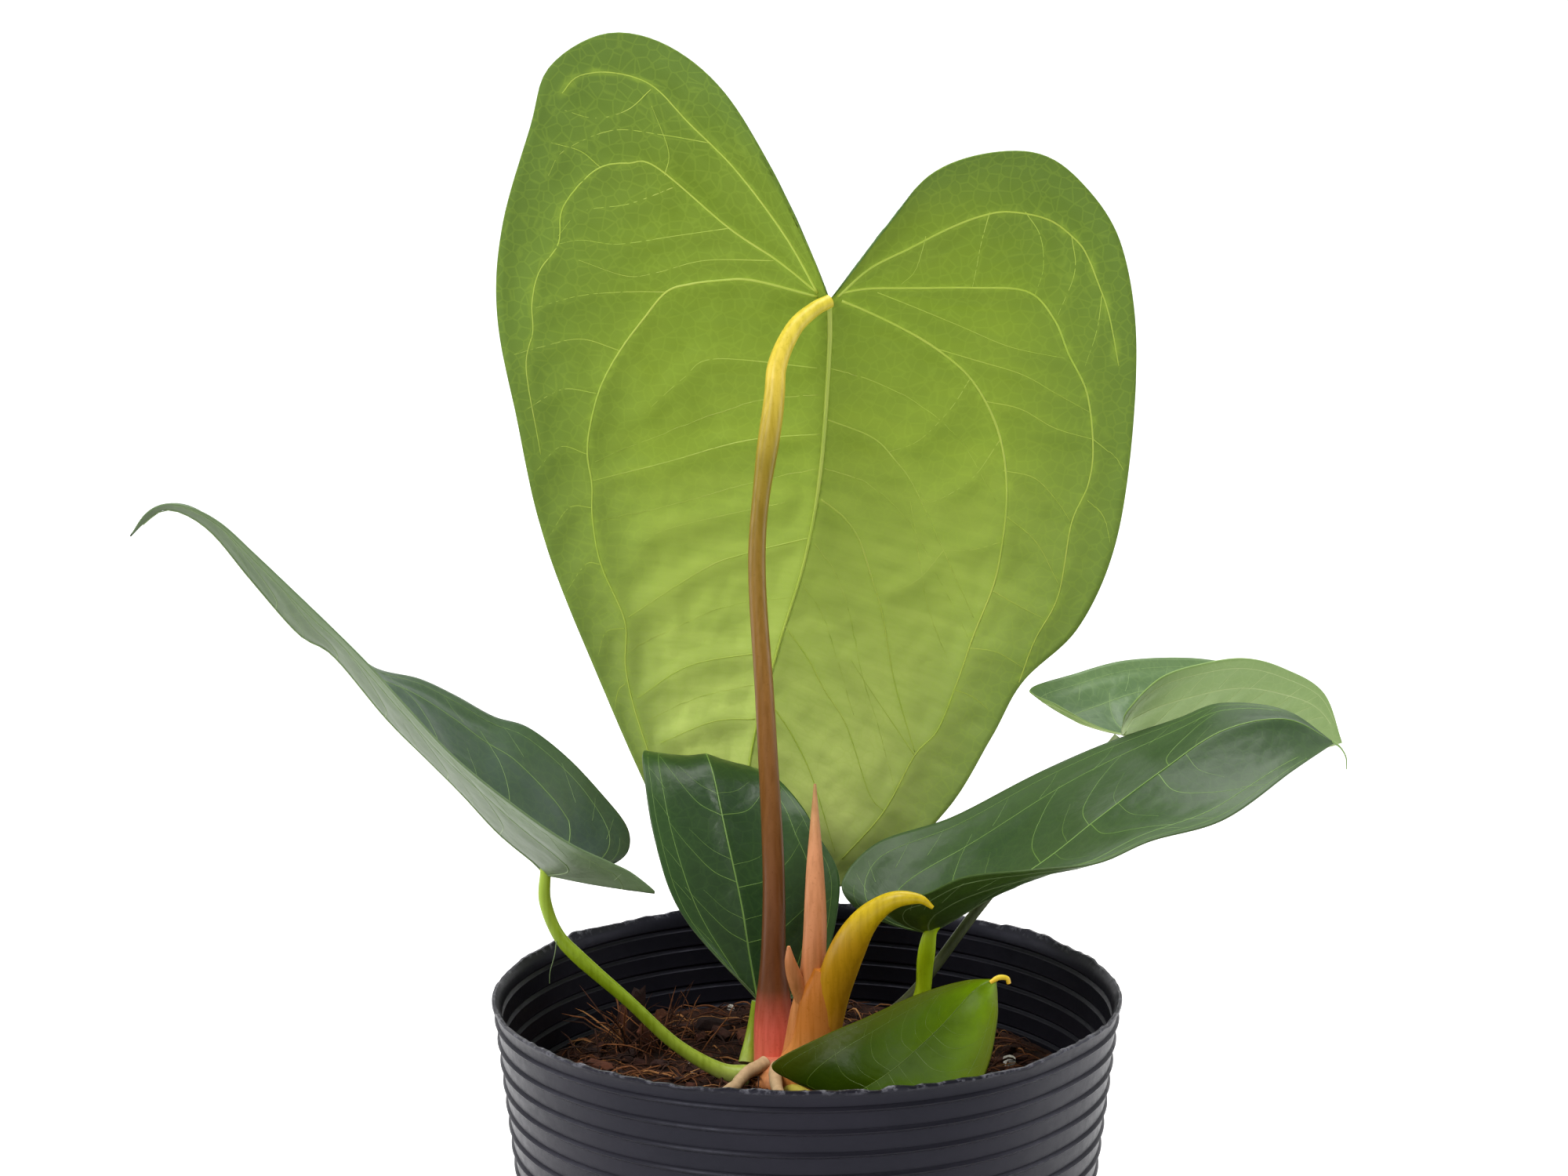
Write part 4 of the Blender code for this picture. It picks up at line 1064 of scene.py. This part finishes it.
def coir_strands(draw):
    """Vertices, faces and tints of curled three-sided strands; the first ones stand up in a tuft."""
    vertices, faces, tints = [], [], []
    for strand in range(FIBRE_COUNT):
        x, y = free_spot(draw)
        heading = draw.uniform(0, math.tau)
        length = draw.uniform(4, 17)
        curl = draw.uniform(-1.2, 1.2)
        arch = draw.uniform(0.3, 2.6)
        width = draw.uniform(0.12, 0.34)
        tint = draw.random()
        lift = draw.uniform(0.0, 1.0)
        stand = 0
        if strand < TUFT_COUNT:
            x, y = draw.gauss(-42, 6), draw.gauss(24, 5)
            stand = draw.uniform(1, 17)
        line = []
        for station in range(FIBRE_STEPS + 1):
            share = station / FIBRE_STEPS
            rise = lift + arch * math.sin(math.pi * share) + stand * share
            line.append((x, y, mix_top(x * MM, y * MM) / MM + rise))
            heading += curl / FIBRE_STEPS
            x += math.cos(heading) * length / FIBRE_STEPS
            y += math.sin(heading) * length / FIBRE_STEPS
        if any(math.hypot(spot[0], spot[1]) > FIBRE_LIMIT for spot in line):
            continue
        faces += tube_faces(len(vertices), FIBRE_STEPS + 1, 3)
        sideways = Vector((-math.sin(heading), math.cos(heading), 0))
        for station, spot in enumerate(line):
            thick = width * (1 - 0.75 * abs(2 * station / FIBRE_STEPS - 1) ** 3)
            for corner in range(3):
                turn = math.tau * corner / 3
                offset = sideways * math.cos(turn) + Vector((0, 0, math.sin(turn)))
                vertices.append((Vector(spot) + offset * thick) * MM)
                tints.append(tint)
    return vertices, faces, tints


def chipped_lumps(bits, draw):
    """Vertices, faces and tints of lumps given as (place, size, turn, lean), places and sizes in mm."""
    pick()
    bpy.ops.mesh.primitive_ico_sphere_add(subdivisions=2, radius=0.5)
    pattern = bpy.context.object
    corners = [vertex.co.copy() for vertex in pattern.data.vertices]
    sides = [tuple(face.vertices) for face in pattern.data.polygons]
    bpy.data.objects.remove(pattern)
    vertices, faces, tints = [], [], []
    for (x, y), size, turn, lean in bits:
        faces += [tuple(len(vertices) + corner for corner in side) for side in sides]
        tints += [draw.random()] * len(corners)
        shift = Vector((draw.random(), draw.random(), draw.random())) * 9
        tilt = Vector((0, 0, 1)).rotation_difference(Vector((math.sin(lean), 0, math.cos(lean))))
        spots = []
        for corner in corners:
            blocky = Vector([math.copysign(abs(axis * 2) ** 0.6 / 2, axis) for axis in corner])
            blocky *= 1 + 0.35 * noise.noise(corner * 2.2 + shift) + 0.16 * noise.noise(corner * 6 + shift)
            spot = tilt @ (blocky * Vector(size))
            spots.append((spot.x * math.cos(turn) - spot.y * math.sin(turn),
                          spot.x * math.sin(turn) + spot.y * math.cos(turn), spot.z))
        ground = mix_top(x * MM, y * MM) / MM - 0.2 * min(size) - min(spot[2] for spot in spots)
        vertices += [((x + spot[0]) * MM, (y + spot[1]) * MM, (ground + spot[2]) * MM) for spot in spots]
    return vertices, faces, tints


fibre_finish = tinted_finish("coir_fibre", [(0.0, (0.02, 0.007, 0.004)), (0.5, (0.07, 0.022, 0.009)),
                                            (0.85, (0.2, 0.07, 0.02)), (1.0, (0.42, 0.2, 0.07))], 0.85, 500,
                             0.0003)
fibres = scatter_piece("coir_fibres", coir_strands(random.Random(51)), fibre_finish)
fibres.data.shade_smooth()
draw = random.Random(77)
chips = [((-43, 27), (4, 2.4, 17), 0.4, 0.12), ((-37, 32), (6, 3, 8), 1.2, 0.3),
         ((-52, 12), (9, 4, 3), 2.3, 0.1), ((-24, 40), (8, 5, 4), 0.3, 0.2),
         ((-30, -30), (10, 5, 3), 1.0, 0.1), ((22, 48), (8, 4, 3), 1.7, 0.1),
         ((-46, 30), (3, 2, 12), 2.0, 0.4), ((-40, 22), (3.4, 2, 10), 0.9, -0.5)]
for _ in range(CHIP_COUNT):
    width = draw.uniform(1.4, 6.5)
    spot = free_spot(draw, 13, 64)
    size = (width, width * draw.uniform(0.4, 0.8), width * draw.uniform(0.2, 0.5))
    chips.append((spot, size, draw.uniform(0, math.tau), draw.uniform(-0.4, 0.4)))
bark_finish = tinted_finish("bark_chip", [(0.0, (0.015, 0.006, 0.005)), (0.5, (0.05, 0.016, 0.01)),
                                          (1.0, (0.13, 0.042, 0.02))], 0.9, 600, 0.0006)
bark = scatter_piece("bark_chips_skin", chipped_lumps(chips, draw), bark_finish)
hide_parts(*[f"bark_chip_{index + 1}" for index in range(6)])
grains = [((51, 17), (3.2, 2.8, 2.6), 0.3, 0), ((-28, 14), (2.8, 2.4, 2.2), 0.9, 0),
          ((46, 28), (2.6, 2.2, 2), 2, 0), ((-44, -12), (2.6, 2.2, 2.0), 1, 0),
          ((-8, 46), (2.8, 2.3, 2.2), 0, 0)]
for _ in range(GRAIN_COUNT):
    width = draw.uniform(0.8, 2.3)
    spot = free_spot(draw, 13, 66)
    grains.append((spot, (width, width * 0.85, width * 0.8), draw.uniform(0, math.tau), 0.2))
perlite_finish = tinted_finish("perlite_grain", [(0.0, (0.42, 0.38, 0.33)), (0.6, (0.6, 0.57, 0.52)),
                                                 (1.0, (0.78, 0.76, 0.72))], 0.85, 1500, 0.0003)
perlite = scatter_piece("perlite_skin", chipped_lumps(grains, draw), perlite_finish)
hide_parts(*[f"perlite_grain_{index + 1}" for index in range(5)])
